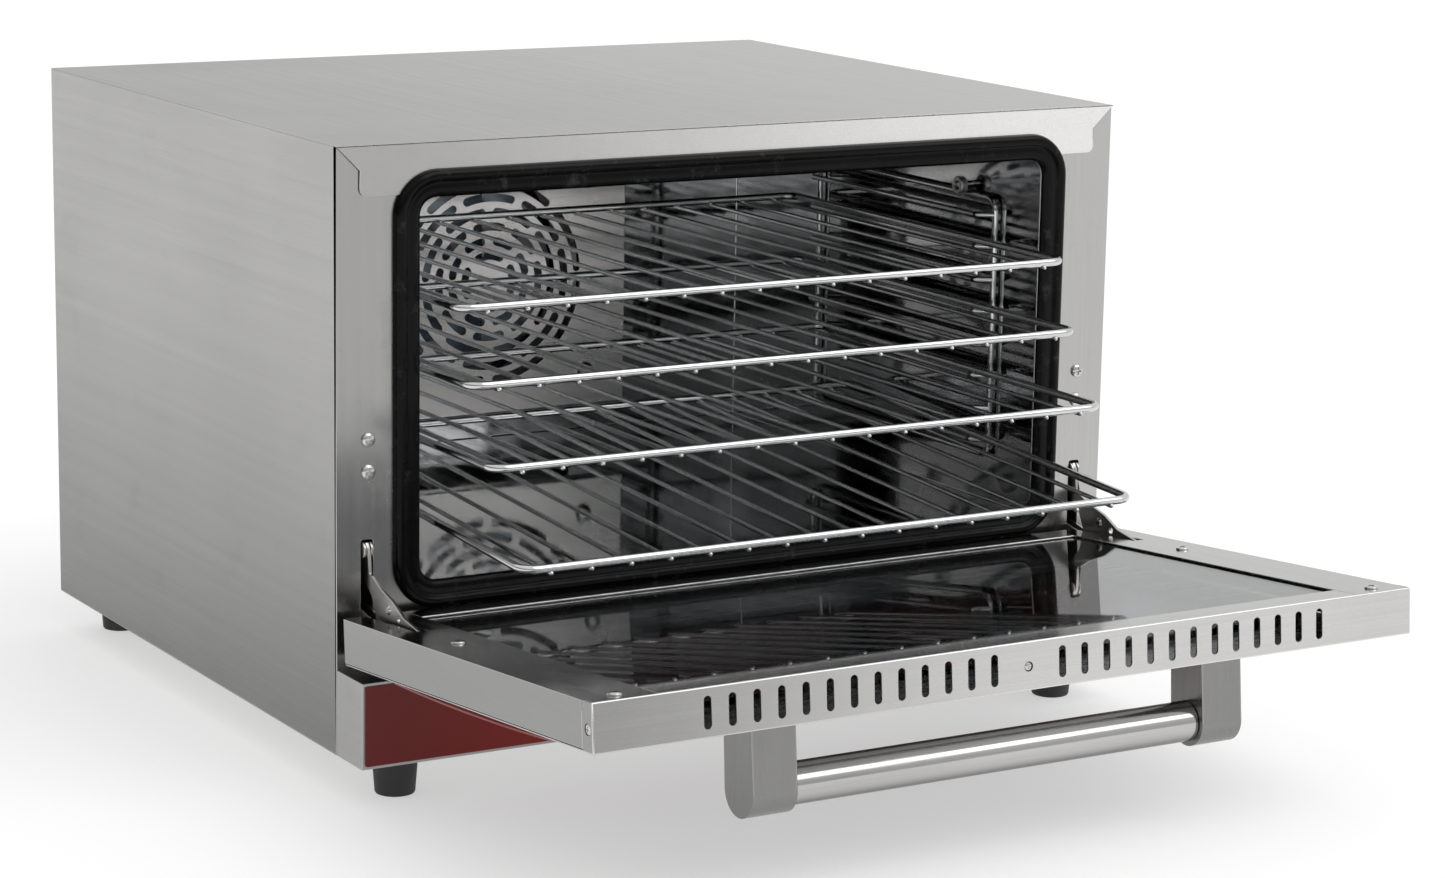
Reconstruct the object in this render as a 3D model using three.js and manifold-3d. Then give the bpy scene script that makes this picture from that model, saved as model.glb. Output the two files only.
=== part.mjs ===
import * as THREE from 'three';
import { mergeVertices } from 'three/addons/utils/BufferGeometryUtils.js';
import Module from 'manifold-3d';

// Half-size countertop convection oven: a folded stainless casing, a mirror-finished cavity with a rear
// fan, four wire racks on wire rails, and a glass door that drops down on two sprung hinges.
// Millimetres, +Z up, +Y from the door to the back. It is drawn with the door open and the racks pulled out.
// The pieces are made with z = 0 on the underside of the casing and y = 0 on the face of the front frame.
// The door's pieces have an origin of their own on the hinge line, with the door upright.

// Overall sizes
const width = 595;
const depth = 490;
const height = 392;           // casing only, without the feet
const footHeight = 28;

// Sheet and fits
const sheet = 1.2;
const gap = 0.3;              // between pieces that touch
const runningGap = 0.3;       // round a shaft or pin

// Bays between the casing and the cavity
const sideBay = 51.5;
const lowerBay = 101.5;
const upperBay = 34;
const rearBay = 70;
const linerSheet = 1;
const insulationThickness = 16;

// Front
const flangeDrop = 32.5;      // top flange folded down over the front frame
const flangeInset = 16;       // of its ends from the sides
const mouthInset = 7;         // of the cavity mouth from the cavity's side walls
const mouthRadius = 12;
const gasketWidth = 19;
const gasketProud = 7.2;
const controlHeight = 56.6;
const controlProud = 37.3;
const overlayThickness = 0.5;
const overlayBorder = 2;

// Door
const doorThickness = 30;
const doorAngle = 85.3;       // degrees from shut to open
const doorGap = 4.4;          // from the control box up to the shut door
const doorTopGap = 3.3;       // from the shut door up to the top of the casing
const doorStandOff = 8;       // of the shut door's inner face from the front frame
const pivotUp = 14.8;         // hinge line above the door's lower edge
const pivotIn = 18.1;         // hinge line behind the door's inner face
const doorSideWidth = 43.2;
const doorTopStrip = 22.7;
const doorBottomStrip = 24;
const glassThickness = 5;
const glassLap = 8;           // of the glass under its frame
const wrapLength = 12;        // of the outer panel's top flange round the door's sides
const windowMarginSide = 72;
const windowMarginTop = 74;
const windowMarginBottom = 56;
const ventPitch = 16.5;
const ventWidth = 5.2;
const ventHeight = 19.6;
const ventFirst = 24.8;       // nearest vent to the middle
const ventLast = 76;          // room kept between the last vent and the door's side

// Handle
const handleBarRadius = 12.9;
const handleBarWall = 1.5;
const handleFromTop = 40.5;   // of its bar below the door's upper edge
const handleReach = 74.3;     // of its bar from the door's inner face
const handleInnerHalf = 149;
const bracketWidth = 30.8;
const bracketRadius = 16.2;

// Hinges
const hingeInset = 21.3;      // hinge plates from the casing's side
const armThickness = 2.4;
const earThickness = 1.2;
const earClearance = 1.5;     // between the arm and an ear
const slotClearance = 0.4;    // between an ear and the slot's edge
const slotBelowPivot = 15.3;
const slotAbovePivot = 64.2;
const pinRadius = 2.7;
const rollerRadius = 5.5;
const rollerClearance = 0.9;  // between the roller and the slot's edge
const tailForward = 28.1;     // roller behind the hinge line, door open
const tailUp = 57.2;          // roller above the hinge line, door open
const housingWidth = 22;
const housingDepth = 66;
const housingAbovePivot = 139.2;
const housingBelowPivot = 39.8;
const springRadius = 6;

// Racks
const rackInset = 12;         // of a rack's side from the cavity's side wall
const rackWire = 5.5;
const rackCrossWire = 3.2;
const rackCrossPitch = 28.4;
const rackCornerRadius = 11;
const rackFrontIn = 5;        // front wire of a rack that is pushed in
const rackBackGap = 11;       // from a pushed-in rack to the fan baffle
const lowestRack = 50.7;      // above the cavity floor
const highestRack = 66;       // below the cavity ceiling
const rackPullOut = [133.6, 95, 63, 47];   // from the lowest rack to the highest
const rackTilt = [2.9, 0, 0, 0];           // degrees, nose down

// Rack rails
const railWire = 4.4;
const railFrontPost = 58;
const railRearPost = 78;      // in front of the fan baffle
const railPostInset = 3.6;    // of a post's middle from the cavity wall
const antiTipRise = 17.3;     // of the upper rail above a rack's wire
const railHeadRoom = 29.5;    // top of the rail frame above the highest rack
const railFootRoom = 17;      // bottom of the rail frame below the lowest rack
const thumbNutRadius = 6.5;
const thumbNutWidth = 5.6;
const studRadius = 3;
const studFromFront = 94;

// Fan
const baffleBay = 50;         // cavity back wall to the baffle's face
const baffleHalfWidth = 117.5;
const baffleBottomGap = 28.5;
const baffleTopGap = 25;
const baffleLip = 12;
const baffleStudX = 82;
const baffleStudLow = 27.8;   // above the baffle's lower edge
const baffleStudHigh = 28;    // below the baffle's upper edge
const grilleInnerRing = 20;
const grilleRingPitch = 11;
const grilleOverlap = 5;       // of the outermost ring past the fan wheel
const grilleSlot = 6.4;
const grilleSectors = 8;
const grilleBridge = 6.5;     // metal left between two slots of a ring
const nutRadius = 7;
const nutHeight = 6.5;
const elementInset = 9.5;     // of the element's ring from the baffle's upper and lower edges
const elementRoom = 22;       // between the fan wheel and the element's ring
const fanDepth = 26;
const fanBlades = 8;
const fanShaftRadius = 4;
const elementWire = 7;
const motorRadius = 34;
const motorLength = 52;

// Controls
const knobRadius = 18;
const knobLength = 22;
const knobShaftRadius = 3;
const knobPlaces = { thermostat_knob: 70, timer_knob: 190 };
const lampPlaces = { heat_lamp: 130, power_lamp: 240 };
const lampRadius = 6;
const switchBody = 40;

// Back and feet
const glandX = -200;
const glandZ = 44;
const glandRadius = 9;
const glandLength = 14;
const footInsetSide = 38.5;
const footInsetFront = -5;
const footInsetBack = 23;
const footTopRadius = 15;
const footBottomRadius = 13.2;

// Worked out from the sizes above
const halfWidth = width / 2;
const cavityHalf = halfWidth - sideBay;
const cavityFloor = lowerBay;
const cavityCeiling = height - upperBay;
const cavityBack = depth - rearBay;
const mouthHalf = cavityHalf - mouthInset;
const mouthLow = cavityFloor + 1.5;
const mouthHigh = cavityCeiling - 0.6;
const gasketLow = mouthLow - 12.2;
const gasketHigh = mouthHigh + 17.6;
const gasketHalf = mouthHalf + gasketWidth;
const baffleFace = cavityBack - baffleBay;
const baffleLow = cavityFloor + baffleBottomGap;
const baffleHigh = cavityCeiling - baffleTopGap;
const fanZ = (baffleLow + baffleHigh) / 2;
const elementRadius = (baffleHigh - baffleLow) / 2 - elementInset;
const fanRadius = elementRadius - elementRoom;
const doorLow = controlHeight + doorGap;
const doorLength = height - doorTopGap - doorLow;
const pivotY = -doorStandOff - pivotIn;
const pivotZ = doorLow + pivotUp;
const hingeX = halfWidth - hingeInset;
const earOffset = armThickness / 2 + earClearance;
const slotWidth = 2 * (earOffset + earThickness + slotClearance);
const slotBottom = pivotZ - slotBelowPivot;
const slotTop = pivotZ + slotAbovePivot;
const housingTop = pivotZ + housingAbovePivot;
const housingBottom = pivotZ - housingBelowPivot;
const rollerWidth = slotWidth - 2 * rollerClearance;
const rackHalf = cavityHalf - rackInset;
const rackLength = baffleFace - rackBackGap - rackFrontIn;
const rackLevelLow = cavityFloor + lowestRack;
const rackLevelHigh = cavityCeiling - highestRack;
const rackCount = rackPullOut.length;
const openAngle = THREE.MathUtils.degToRad(doorAngle);
const frontReach = doorLength - pivotUp;
const doorReach = frontReach * Math.sin(openAngle) + (doorThickness - pivotIn) * Math.cos(openAngle);

// Materials
const metal = (color, roughness) => new THREE.MeshStandardMaterial({ color, roughness, metalness: 1 });
const plain = (color, roughness) => new THREE.MeshStandardMaterial({ color, roughness, metalness: 0 });
const brushed = metal(0xb8b8b8, 0.35);
const polished = metal(0xc8c8c8, 0.1);
const chrome = metal(0xd8d8d8, 0.08);
const zinc = metal(0x9a9c9e, 0.3);
const silicone = plain(0x101010, 0.6);
const rubber = plain(0x141414, 0.8);
const red = plain(0x641f1c, 0.35);
const blackPlastic = plain(0x18181a, 0.4);
const amber = plain(0xd98a2b, 0.2);
const wool = plain(0xc9c2b0, 0.95);
const darkPaint = plain(0x2c2e30, 0.5);
const glass = new THREE.MeshStandardMaterial({
  color: 0xaab4b2, roughness: 0.05, metalness: 0, transparent: true, opacity: 0.35,
});

// Solids: manifold-3d joins and cuts the closed geometries that three.js makes

const wasm = await Module();
wasm.setup();

function toSolid(geometry) {
  const bare = geometry.clone();
  bare.deleteAttribute('normal');
  bare.deleteAttribute('uv');
  const merged = mergeVertices(bare, 1e-4);
  return new wasm.Manifold(new wasm.Mesh({
    numProp: 3,
    vertProperties: new Float32Array(merged.attributes.position.array),
    triVerts: new Uint32Array(merged.index.array),
  }));
}

function toGeometry(solid) {
  const mesh = solid.getMesh();
  const geometry = new THREE.BufferGeometry();
  geometry.setAttribute('position', new THREE.BufferAttribute(mesh.vertProperties, 3));
  geometry.setIndex(new THREE.BufferAttribute(mesh.triVerts, 1));
  return geometry;
}

function join(...geometries) {
  return toGeometry(geometries.map(toSolid).reduce((all, one) => all.add(one)));
}

function cut(base, ...tools) {
  return toGeometry(tools.map(toSolid).reduce((left, tool) => left.subtract(tool), toSolid(base)));
}

function box(x0, x1, y0, y1, z0, z1) {
  const geometry = new THREE.BoxGeometry(x1 - x0, y1 - y0, z1 - z0);
  return geometry.translate((x0 + x1) / 2, (y0 + y1) / 2, (z0 + z1) / 2);
}

function polygon(points) {
  return new THREE.Shape(points.map(([a, b]) => new THREE.Vector2(a, b)));
}

// Rectangle with round corners; a radius of half the short side gives a slot with round ends
function roundedRect(a0, a1, b0, b1, radius) {
  const shape = new THREE.Shape();
  shape.absarc(a1 - radius, b0 + radius, radius, -Math.PI / 2, 0, false);
  shape.absarc(a1 - radius, b1 - radius, radius, 0, Math.PI / 2, false);
  shape.absarc(a0 + radius, b1 - radius, radius, Math.PI / 2, Math.PI, false);
  shape.absarc(a0 + radius, b0 + radius, radius, Math.PI, 1.5 * Math.PI, false);
  return shape;
}

function extrude(shape, thickness, curveSegments) {
  return new THREE.ExtrudeGeometry(shape, { depth: thickness, bevelEnabled: false, curveSegments });
}

// Plate in an XZ outline, from y to y + thickness
function frontPlate(shape, y, thickness, curveSegments = 4) {
  return extrude(shape, thickness, curveSegments).rotateX(Math.PI / 2).translate(0, y + thickness, 0);
}

// Plate in a YZ outline, from x to x + thickness
function sidePlate(shape, x, thickness, curveSegments = 4) {
  const turn = new THREE.Matrix4().makeBasis(
    new THREE.Vector3(0, 1, 0), new THREE.Vector3(0, 0, 1), new THREE.Vector3(1, 0, 0),
  );
  return extrude(shape, thickness, curveSegments).applyMatrix4(turn).translate(x, 0, 0);
}

// Round bar along +Y from y to y + length
function barY(radius, x, y, z, length, sides = 16) {
  return new THREE.CylinderGeometry(radius, radius, length, sides).translate(x, y + length / 2, z);
}

// Round bar along +X from x to x + length
function barX(radius, x, y, z, length, sides = 16) {
  const bar = new THREE.CylinderGeometry(radius, radius, length, sides);
  return bar.rotateZ(Math.PI / 2).translate(x + length / 2, y, z);
}

// Lathe about +Y, from [radius, y] points
function latheY(points, sides) {
  return new THREE.LatheGeometry(points.map(([r, y]) => new THREE.Vector2(r, y)), sides);
}

// Path that an extrusion follows from point to point, turning only at the points themselves
class PointPath extends THREE.Curve {
  constructor(points) {
    super();
    this.points = points;
  }

  getPoint(t) {
    const place = t * (this.points.length - 1);
    const index = Math.min(Math.floor(place + 1e-6), this.points.length - 2);
    return this.points[index].clone().lerp(this.points[index + 1], place - index);
  }

  getPointAt(t) {
    return this.getPoint(t);
  }

  getTangentAt(t) {
    const at = Math.round(t * (this.points.length - 1));
    const before = this.points[Math.max(at - 1, 0)];
    const here = this.points[at];
    const after = this.points[Math.min(at + 1, this.points.length - 1)];
    const into = here.clone().sub(before).normalize();
    const away = after.clone().sub(here).normalize();
    return into.add(away).normalize();
  }
}

// Wire along straight stretches, with a bend of the given radius at each inner point
function wire(corners, diameter, bendRadius, sides, bendSteps = 4) {
  const points = [];
  corners.forEach((corner, index) => {
    const here = new THREE.Vector3(...corner);
    if (index === 0 || index === corners.length - 1) {
      points.push(here);
      return;
    }
    const back = new THREE.Vector3(...corners[index - 1]).sub(here).normalize();
    const ahead = new THREE.Vector3(...corners[index + 1]).sub(here).normalize();
    const half = back.angleTo(ahead) / 2;
    const reach = bendRadius / Math.tan(half);
    const start = here.clone().addScaledVector(back, reach);
    const end = here.clone().addScaledVector(ahead, reach);
    const centre = here.clone().addScaledVector(back.clone().add(ahead).normalize(), bendRadius / Math.sin(half));
    for (let step = 0; step <= bendSteps; step += 1) {
      const turn = bendSteps ? step / bendSteps : 0.5;
      const spoke = start.clone().lerp(end, turn).sub(centre);
      points.push(centre.clone().addScaledVector(spoke.normalize(), bendRadius));
    }
  });
  const section = new THREE.Shape();
  for (let side = 0; side < sides; side += 1) {
    const angle = (side + 0.5) * 2 * Math.PI / sides;
    const x = Math.cos(angle) * diameter / 2;
    const y = Math.sin(angle) * diameter / 2;
    if (side === 0) section.moveTo(x, y);
    else section.lineTo(x, y);
  }
  return new THREE.ExtrudeGeometry(section, {
    steps: points.length - 1, extrudePath: new PointPath(points), curveSegments: 1,
  });
}

function part(name, geometry, material, x = 0, y = 0, z = 0) {
  const mesh = new THREE.Mesh(geometry, material);
  mesh.name = name;
  mesh.position.set(x, y, z);
  return mesh;
}

// Casing and cavity

// Top and sides in one sheet, with a mitred flange turned down over the front frame
function casingShell() {
  const flangeY = -sheet - gap;
  const flangeEnd = halfWidth - flangeInset;
  const cornerRadius = 5;
  const low = height - flangeDrop;
  const flange = polygon([[-halfWidth, height], [-flangeEnd, height - flangeInset], [-flangeEnd, low + cornerRadius]]);
  flange.absarc(-flangeEnd + cornerRadius, low + cornerRadius, cornerRadius, Math.PI, 1.5 * Math.PI, false);
  flange.absarc(flangeEnd - cornerRadius, low + cornerRadius, cornerRadius, -Math.PI / 2, 0, false);
  flange.lineTo(flangeEnd, height - flangeInset);
  flange.lineTo(halfWidth, height);
  const sideStart = sheet + gap;
  return join(
    box(-halfWidth, halfWidth, flangeY, depth, height - sheet, height),
    box(-halfWidth, -halfWidth + sheet, sideStart, depth, 0, height),
    box(halfWidth - sheet, halfWidth, sideStart, depth, 0, height),
    frontPlate(flange, flangeY, sheet),
  );
}

// Front plate of the casing, with the cavity mouth and a slot for each hinge
function frontFrame() {
  const plate = box(-halfWidth, halfWidth, 0, sheet, 0, height - sheet - gap);
  const mouth = frontPlate(roundedRect(-mouthHalf, mouthHalf, mouthLow, mouthHigh, mouthRadius), -1, sheet + 2);
  const slots = [-1, 1].map((side) => {
    const outline = roundedRect(
      side * hingeX - slotWidth / 2, side * hingeX + slotWidth / 2, slotBottom, slotTop, 1.5,
    );
    return frontPlate(outline, -1, sheet + 2, 1);
  });
  const panelWindow = box(-halfWidth + 20, halfWidth - 20, -1, sheet + 1, 8, controlHeight - 8);
  return cut(plate, mouth, ...slots, panelWindow);
}

// Open-fronted tank with the studs that hold the fan baffle and the rack rails
function cavityLiner() {
  const front = sheet + gap;
  const outerHalf = cavityHalf + linerSheet;
  const outer = box(
    -outerHalf, outerHalf, front, cavityBack + linerSheet, cavityFloor - linerSheet, cavityCeiling + linerSheet,
  );
  const inner = box(-cavityHalf, cavityHalf, front - 1, cavityBack, cavityFloor, cavityCeiling);
  const shaftHole = barY(fanShaftRadius + 4, 0, cavityBack - 5, fanZ, 10);
  const elementHoles = [-1, 1].map((side) => {
    const x = side * elementEnd().x;
    return barY(elementWire / 2 + 1, x, cavityBack - 5, elementEnd().z, 10, 12);
  });
  const baffleStuds = baffleStudPlaces().map(([x, z]) => (
    barY(studRadius, x, baffleFace - 3, z, baffleBay + 3.5, 10)
  ));
  const nutReach = 2 * railPostInset + thumbNutWidth - 1;
  const railStuds = [-1, 1].map((side) => {
    const start = side < 0 ? -cavityHalf - linerSheet / 2 : cavityHalf + linerSheet / 2 - nutReach;
    return barX(studRadius, start, studFromFront, railStudZ(), nutReach, 10);
  });
  return join(cut(outer, inner, shaftHole, ...elementHoles), ...baffleStuds, ...railStuds);
}

function baffleStudPlaces() {
  const low = baffleLow + baffleStudLow;
  const high = baffleHigh - baffleStudHigh;
  return [[-baffleStudX, low], [baffleStudX, low], [-baffleStudX, high], [baffleStudX, high]];
}

function railTopZ() {
  return rackLevelHigh + railHeadRoom;
}

function railStudZ() {
  return railTopZ() + railWire / 2 + studRadius + gap;
}

// Blanket round the cavity, behind the hinge housings
function insulationWrap() {
  const start = housingDepth + 8;
  const end = cavityBack + linerSheet;
  const innerHalf = cavityHalf + linerSheet + gap;
  const low = cavityFloor - linerSheet - gap;
  const high = cavityCeiling + linerSheet + gap;
  const t = insulationThickness;
  return cut(
    box(-innerHalf - t, innerHalf + t, start, end, low - t, high + t),
    box(-innerHalf, innerHalf, start - 1, end + 1, low, high),
  );
}

// Silicone door seal: a raised bead with a lower inner lip, notched behind to sit over the top flange
function doorGasket() {
  const outline = roundedRect(-gasketHalf, gasketHalf, gasketLow, gasketHigh, 30);
  const hole = roundedRect(-mouthHalf, mouthHalf, mouthLow, mouthHigh, mouthRadius);
  const stepIn = gasketWidth / 2;
  const lip = roundedRect(
    -gasketHalf + stepIn, gasketHalf - stepIn, gasketLow + 6.5, gasketHigh - 8.8, 22,
  );
  const step = 2.6;
  const overFlange = sheet + 2 * gap;
  return cut(
    frontPlate(outline, -gasketProud, gasketProud - gap),
    frontPlate(hole, -gasketProud - 1, gasketProud + 2),
    frontPlate(lip, -gasketProud - 1, 1 + step),
    box(-halfWidth, halfWidth, -overFlange, 1, height - flangeDrop - gap, height),
  );
}

function basePan() {
  const start = sheet + gap;
  const half = halfWidth - sheet - gap;
  const end = depth - sheet - gap;
  const lip = 14;
  return cut(
    box(-half, half, start, end, 0, lip),
    box(-half + sheet, half - sheet, start + sheet, end - sheet, sheet, lip + 1),
  );
}

// Back sheet with two rows of ventilation slots and a hole for the gland
function backCover() {
  const half = halfWidth - sheet - gap;
  const plate = box(-half, half, depth - sheet, depth, 0, height - sheet - gap);
  const slotLength = 60;
  const slotPitch = 14;
  const slots = [];
  for (const side of [-1, 1]) {
    for (let row = 0; row < 5; row += 1) {
      const z = fanZ + (row - 2) * slotPitch;
      const middle = side * 90;
      slots.push(box(middle - slotLength / 2, middle + slotLength / 2, depth - 5, depth + 5, z - 2, z + 2));
    }
  }
  return cut(plate, ...slots, barY(glandRadius - 2 + gap, glandX, depth - 5, glandZ, 10, 16));
}

function cableGland() {
  const profile = [
    [2.5, 0], [glandRadius - 2, 0], [glandRadius - 2, sheet + 3], [glandRadius, sheet + 3],
    [glandRadius - 1, sheet + 3 + glandLength - 3], [glandRadius - 3, sheet + 3 + glandLength], [2.5, sheet + 3 + glandLength],
    [2.5, 0],
  ];
  return part('cable_gland', latheY(profile, 16), blackPlastic, glandX, depth - sheet - 2.7, glandZ);
}

// Control box and controls

function controlBox() {
  const back = -gap;
  const front = -controlProud;
  const holes = [
    ...Object.values(knobPlaces).map((x) => barY(knobShaftRadius + 1.5, x, front - 1, controlHeight / 2, 10)),
    ...Object.values(lampPlaces).map((x) => barY(lampRadius + gap, x, front - 1, controlHeight / 2, 10)),
  ];
  return cut(
    box(-halfWidth, halfWidth, front, back, 0, controlHeight),
    box(-halfWidth + sheet, halfWidth - sheet, front + sheet, back + 1, sheet, controlHeight - sheet),
    ...holes,
  );
}

function controlOverlay() {
  const y = -controlProud - gap - overlayThickness;
  const half = halfWidth - overlayBorder;
  const plate = roundedRect(-half, half, overlayBorder, controlHeight - overlayBorder, 1.5);
  const holes = [
    ...Object.values(knobPlaces).map((x) => barY(knobShaftRadius + 1.5, x, y - 2, controlHeight / 2, 10)),
    ...Object.values(lampPlaces).map((x) => barY(lampRadius + gap, x, y - 2, controlHeight / 2, 10)),
  ];
  return cut(frontPlate(plate, y, overlayThickness, 2), ...holes);
}

// Knob with a pointer rib, and the shaft that it turns
function knob() {
  const skirt = 5;
  const body = latheY([
    [0, 0], [knobRadius, 0], [knobRadius, -skirt + 1], [knobRadius - 1, -skirt],
    [knobRadius - 4, -skirt], [knobRadius - 6, -knobLength + 1.5], [knobRadius - 7.5, -knobLength], [0, -knobLength],
  ].reverse(), 20);
  const rib = box(-3.2, 3.2, -knobLength - 1, -skirt + 1, -knobRadius + 4, knobRadius - 1.5);
  return join(body, rib, barY(knobShaftRadius, 0, -1, 0, 22, 12));
}

function switchHousing() {
  const half = switchBody / 2;
  const front = overlayThickness + sheet + 3 * gap;
  return cut(
    box(-half, half, front, front + 26, -half, half),
    barY(knobShaftRadius + runningGap, 0, front - 1, 0, 22, 12),
  );
}

function controls() {
  const group = new THREE.Group();
  const face = -controlProud - 2 * gap - overlayThickness;
  for (const [name, x] of Object.entries(knobPlaces)) {
    group.add(part(name, knob(), blackPlastic, x, face, controlHeight / 2));
    const bodyName = name.replace('knob', 'body');
    group.add(part(bodyName, switchHousing(), darkPaint, x, face, controlHeight / 2));
  }
  const lens = latheY([
    [0, -3.2], [3, -2.8], [lampRadius - 0.6, -0.6], [lampRadius - 0.6, 12], [0, 12],
  ], 16);
  for (const [name, x] of Object.entries(lampPlaces)) {
    group.add(part(name, lens, amber, x, face, controlHeight / 2));
  }
  return group;
}

// Fan, baffle and element

function arcSlot(radius, from, to) {
  const shape = new THREE.Shape();
  shape.absarc(0, 0, radius + grilleSlot / 2, from, to, false);
  shape.absarc(0, 0, radius - grilleSlot / 2, to, from, true);
  return shape;
}

// Front of the fan box, with a grille of ring slots over the fan and a lip folded back all round
function fanBaffle() {
  const outer = box(-baffleHalfWidth, baffleHalfWidth, baffleFace, baffleFace + baffleLip, baffleLow, baffleHigh);
  const inner = box(
    -baffleHalfWidth + linerSheet, baffleHalfWidth - linerSheet, baffleFace + linerSheet, baffleFace + baffleLip + 1,
    baffleLow + linerSheet, baffleHigh - linerSheet,
  );
  const slots = [];
  const ringCount = Math.floor((fanRadius + grilleOverlap - grilleInnerRing) / grilleRingPitch + 1e-6) + 1;
  for (let ring = 0; ring < ringCount; ring += 1) {
    const radius = grilleInnerRing + ring * grilleRingPitch;
    const sectors = ring === 0 ? grilleSectors / 2 : grilleSectors;
    const sweep = 2 * Math.PI / sectors - grilleBridge / radius;
    for (let sector = 0; sector < sectors; sector += 1) {
      const middle = (sector + (ring % 2) / 2) * 2 * Math.PI / sectors;
      const slot = arcSlot(radius, middle - sweep / 2, middle + sweep / 2);
      slots.push(frontPlate(slot, baffleFace - 1, 3, 2).translate(0, 0, fanZ));
    }
  }
  const studHoles = baffleStudPlaces().map(([x, z]) => barY(studRadius + gap, x, baffleFace - 1, z, 3, 10));
  return cut(outer, inner, ...slots, ...studHoles);
}

function domedNut() {
  const bore = studRadius + gap;
  return latheY([
    [bore, 0], [bore, -nutHeight + 2.2], [0, -nutHeight + 2.2], [0, -nutHeight], [nutRadius * 0.45, -nutHeight + 0.6],
    [nutRadius * 0.75, -nutHeight + 2.4], [nutRadius, -1.4], [nutRadius, 0], [bore, 0],
  ], 12);
}

// Ends of the element's loop, where it turns back through the liner
function elementEnd() {
  const angle = THREE.MathUtils.degToRad(12);
  return { x: elementRadius * Math.sin(angle), z: fanZ - elementRadius * Math.cos(angle) };
}

function heatingElement() {
  const y = baffleFace + baffleLip + 12;
  const steps = 18;
  const start = THREE.MathUtils.degToRad(-90 + 12);
  const points = [];
  for (let step = 0; step <= steps; step += 1) {
    const angle = start + step / steps * THREE.MathUtils.degToRad(360 - 24);
    points.push([elementRadius * Math.cos(angle), y, fanZ + elementRadius * Math.sin(angle)]);
  }
  const end = elementEnd();
  const tail = cavityBack + 25;
  const path = [[end.x, tail, end.z], [end.x, y + 8, end.z], ...points.slice(1, -1), [-end.x, y + 8, end.z], [-end.x, tail, end.z]];
  const section = new THREE.Shape().absarc(0, 0, elementWire / 2, 0, 2 * Math.PI, false);
  return new THREE.ExtrudeGeometry(section, {
    steps: path.length - 1, curveSegments: 6, extrudePath: new PointPath(path.map((p) => new THREE.Vector3(...p))),
  });
}

// Radial wheel: a disc, curved-forward blades and a hub on the shaft
function fanWheel() {
  const blades = [];
  for (let blade = 0; blade < fanBlades; blade += 1) {
    const vane = box(16, fanRadius - 3, -fanDepth, -0.5, -0.8, 0.8);
    blades.push(vane.rotateY(blade * 2 * Math.PI / fanBlades));
  }
  const disc = barY(fanRadius, 0, -1.5, 0, 1.5, 32);
  const hub = barY(17, 0, -14, 0, 13, 20);
  return cut(join(disc, hub, ...blades), barY(fanShaftRadius + gap, 0, -fanDepth - 1, 0, fanDepth + 5, 16));
}

function fanMotor() {
  const body = barY(motorRadius, 0, 0, 0, motorLength, 24);
  return cut(body, barY(fanShaftRadius + runningGap, 0, -1, 0, motorLength - 8, 16));
}

// Racks and rails

function rackLevel(index) {
  return rackLevelLow + index * (rackLevelHigh - rackLevelLow) / (rackCount - 1);
}

// Wire frame bent in two halves, with cross wires welded under it; its origin is on the front wire
function rack() {
  const half = rackHalf - rackWire / 2;
  const middle = rackLength / 2;
  const front = wire([[-half, middle, 0], [-half, 0, 0], [half, 0, 0], [half, middle, 0]], rackWire, rackCornerRadius, 6, 3);
  const back = wire(
    [[half, middle, 0], [half, rackLength, 0], [-half, rackLength, 0], [-half, middle, 0]], rackWire, rackCornerRadius, 6, 3,
  );
  const weld = 0.6;
  const below = -(rackWire * Math.cos(Math.PI / 6) + rackCrossWire * Math.cos(Math.PI / 4)) / 2 + weld;
  const count = 2 * Math.floor(half / rackCrossPitch);
  const crossWires = [];
  for (let index = 0; index < count; index += 1) {
    const x = (index - (count - 1) / 2) * rackCrossPitch;
    crossWires.push(wire([[x, -1.6, below], [x, rackLength + 1.6, below]], rackCrossWire, 1, 4));
  }
  return join(front, back, ...crossWires);
}

// Side ladder of bent wire: two posts joined at top and bottom, and for each rack a rail that carries it
// and a rail that stops it tipping
function rackSupport(side) {
  const x = side * (cavityHalf - railPostInset);
  const inner = side * (rackHalf - rackWire / 2 - 0.4);
  const rear = baffleFace - railRearPost;
  const top = railTopZ();
  const bottom = rackLevelLow - railFootRoom;
  const lead = 8;
  const middle = (railFrontPost + rear) / 2;
  const loopFront = [[x, middle, top], [x, railFrontPost, top], [x, railFrontPost, bottom], [x, middle, bottom]];
  const loopBack = [[x, middle, bottom], [x, rear, bottom], [x, rear, top], [x, middle, top]];
  const pieces = [wire(loopFront, railWire, 9, 6, 2), wire(loopBack, railWire, 9, 6, 2)];
  for (let index = 0; index < rackCount; index += 1) {
    const carry = rackLevel(index) - rackWire / 2 - railWire / 2 - gap;
    const hold = rackLevel(index) + antiTipRise;
    for (const z of [carry, hold]) {
      pieces.push(wire(
        [[x, railFrontPost, z], [inner, railFrontPost + lead, z], [inner, rear - lead, z], [x, rear, z]],
        railWire, 2, 6, 0,
      ));
    }
  }
  return join(...pieces);
}

function thumbNut() {
  const nut = barX(thumbNutRadius, 0, 0, 0, thumbNutWidth, 16);
  return cut(nut, barX(studRadius + gap, -1, 0, 0, thumbNutWidth + 2, 12));
}

// Hinges

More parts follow.
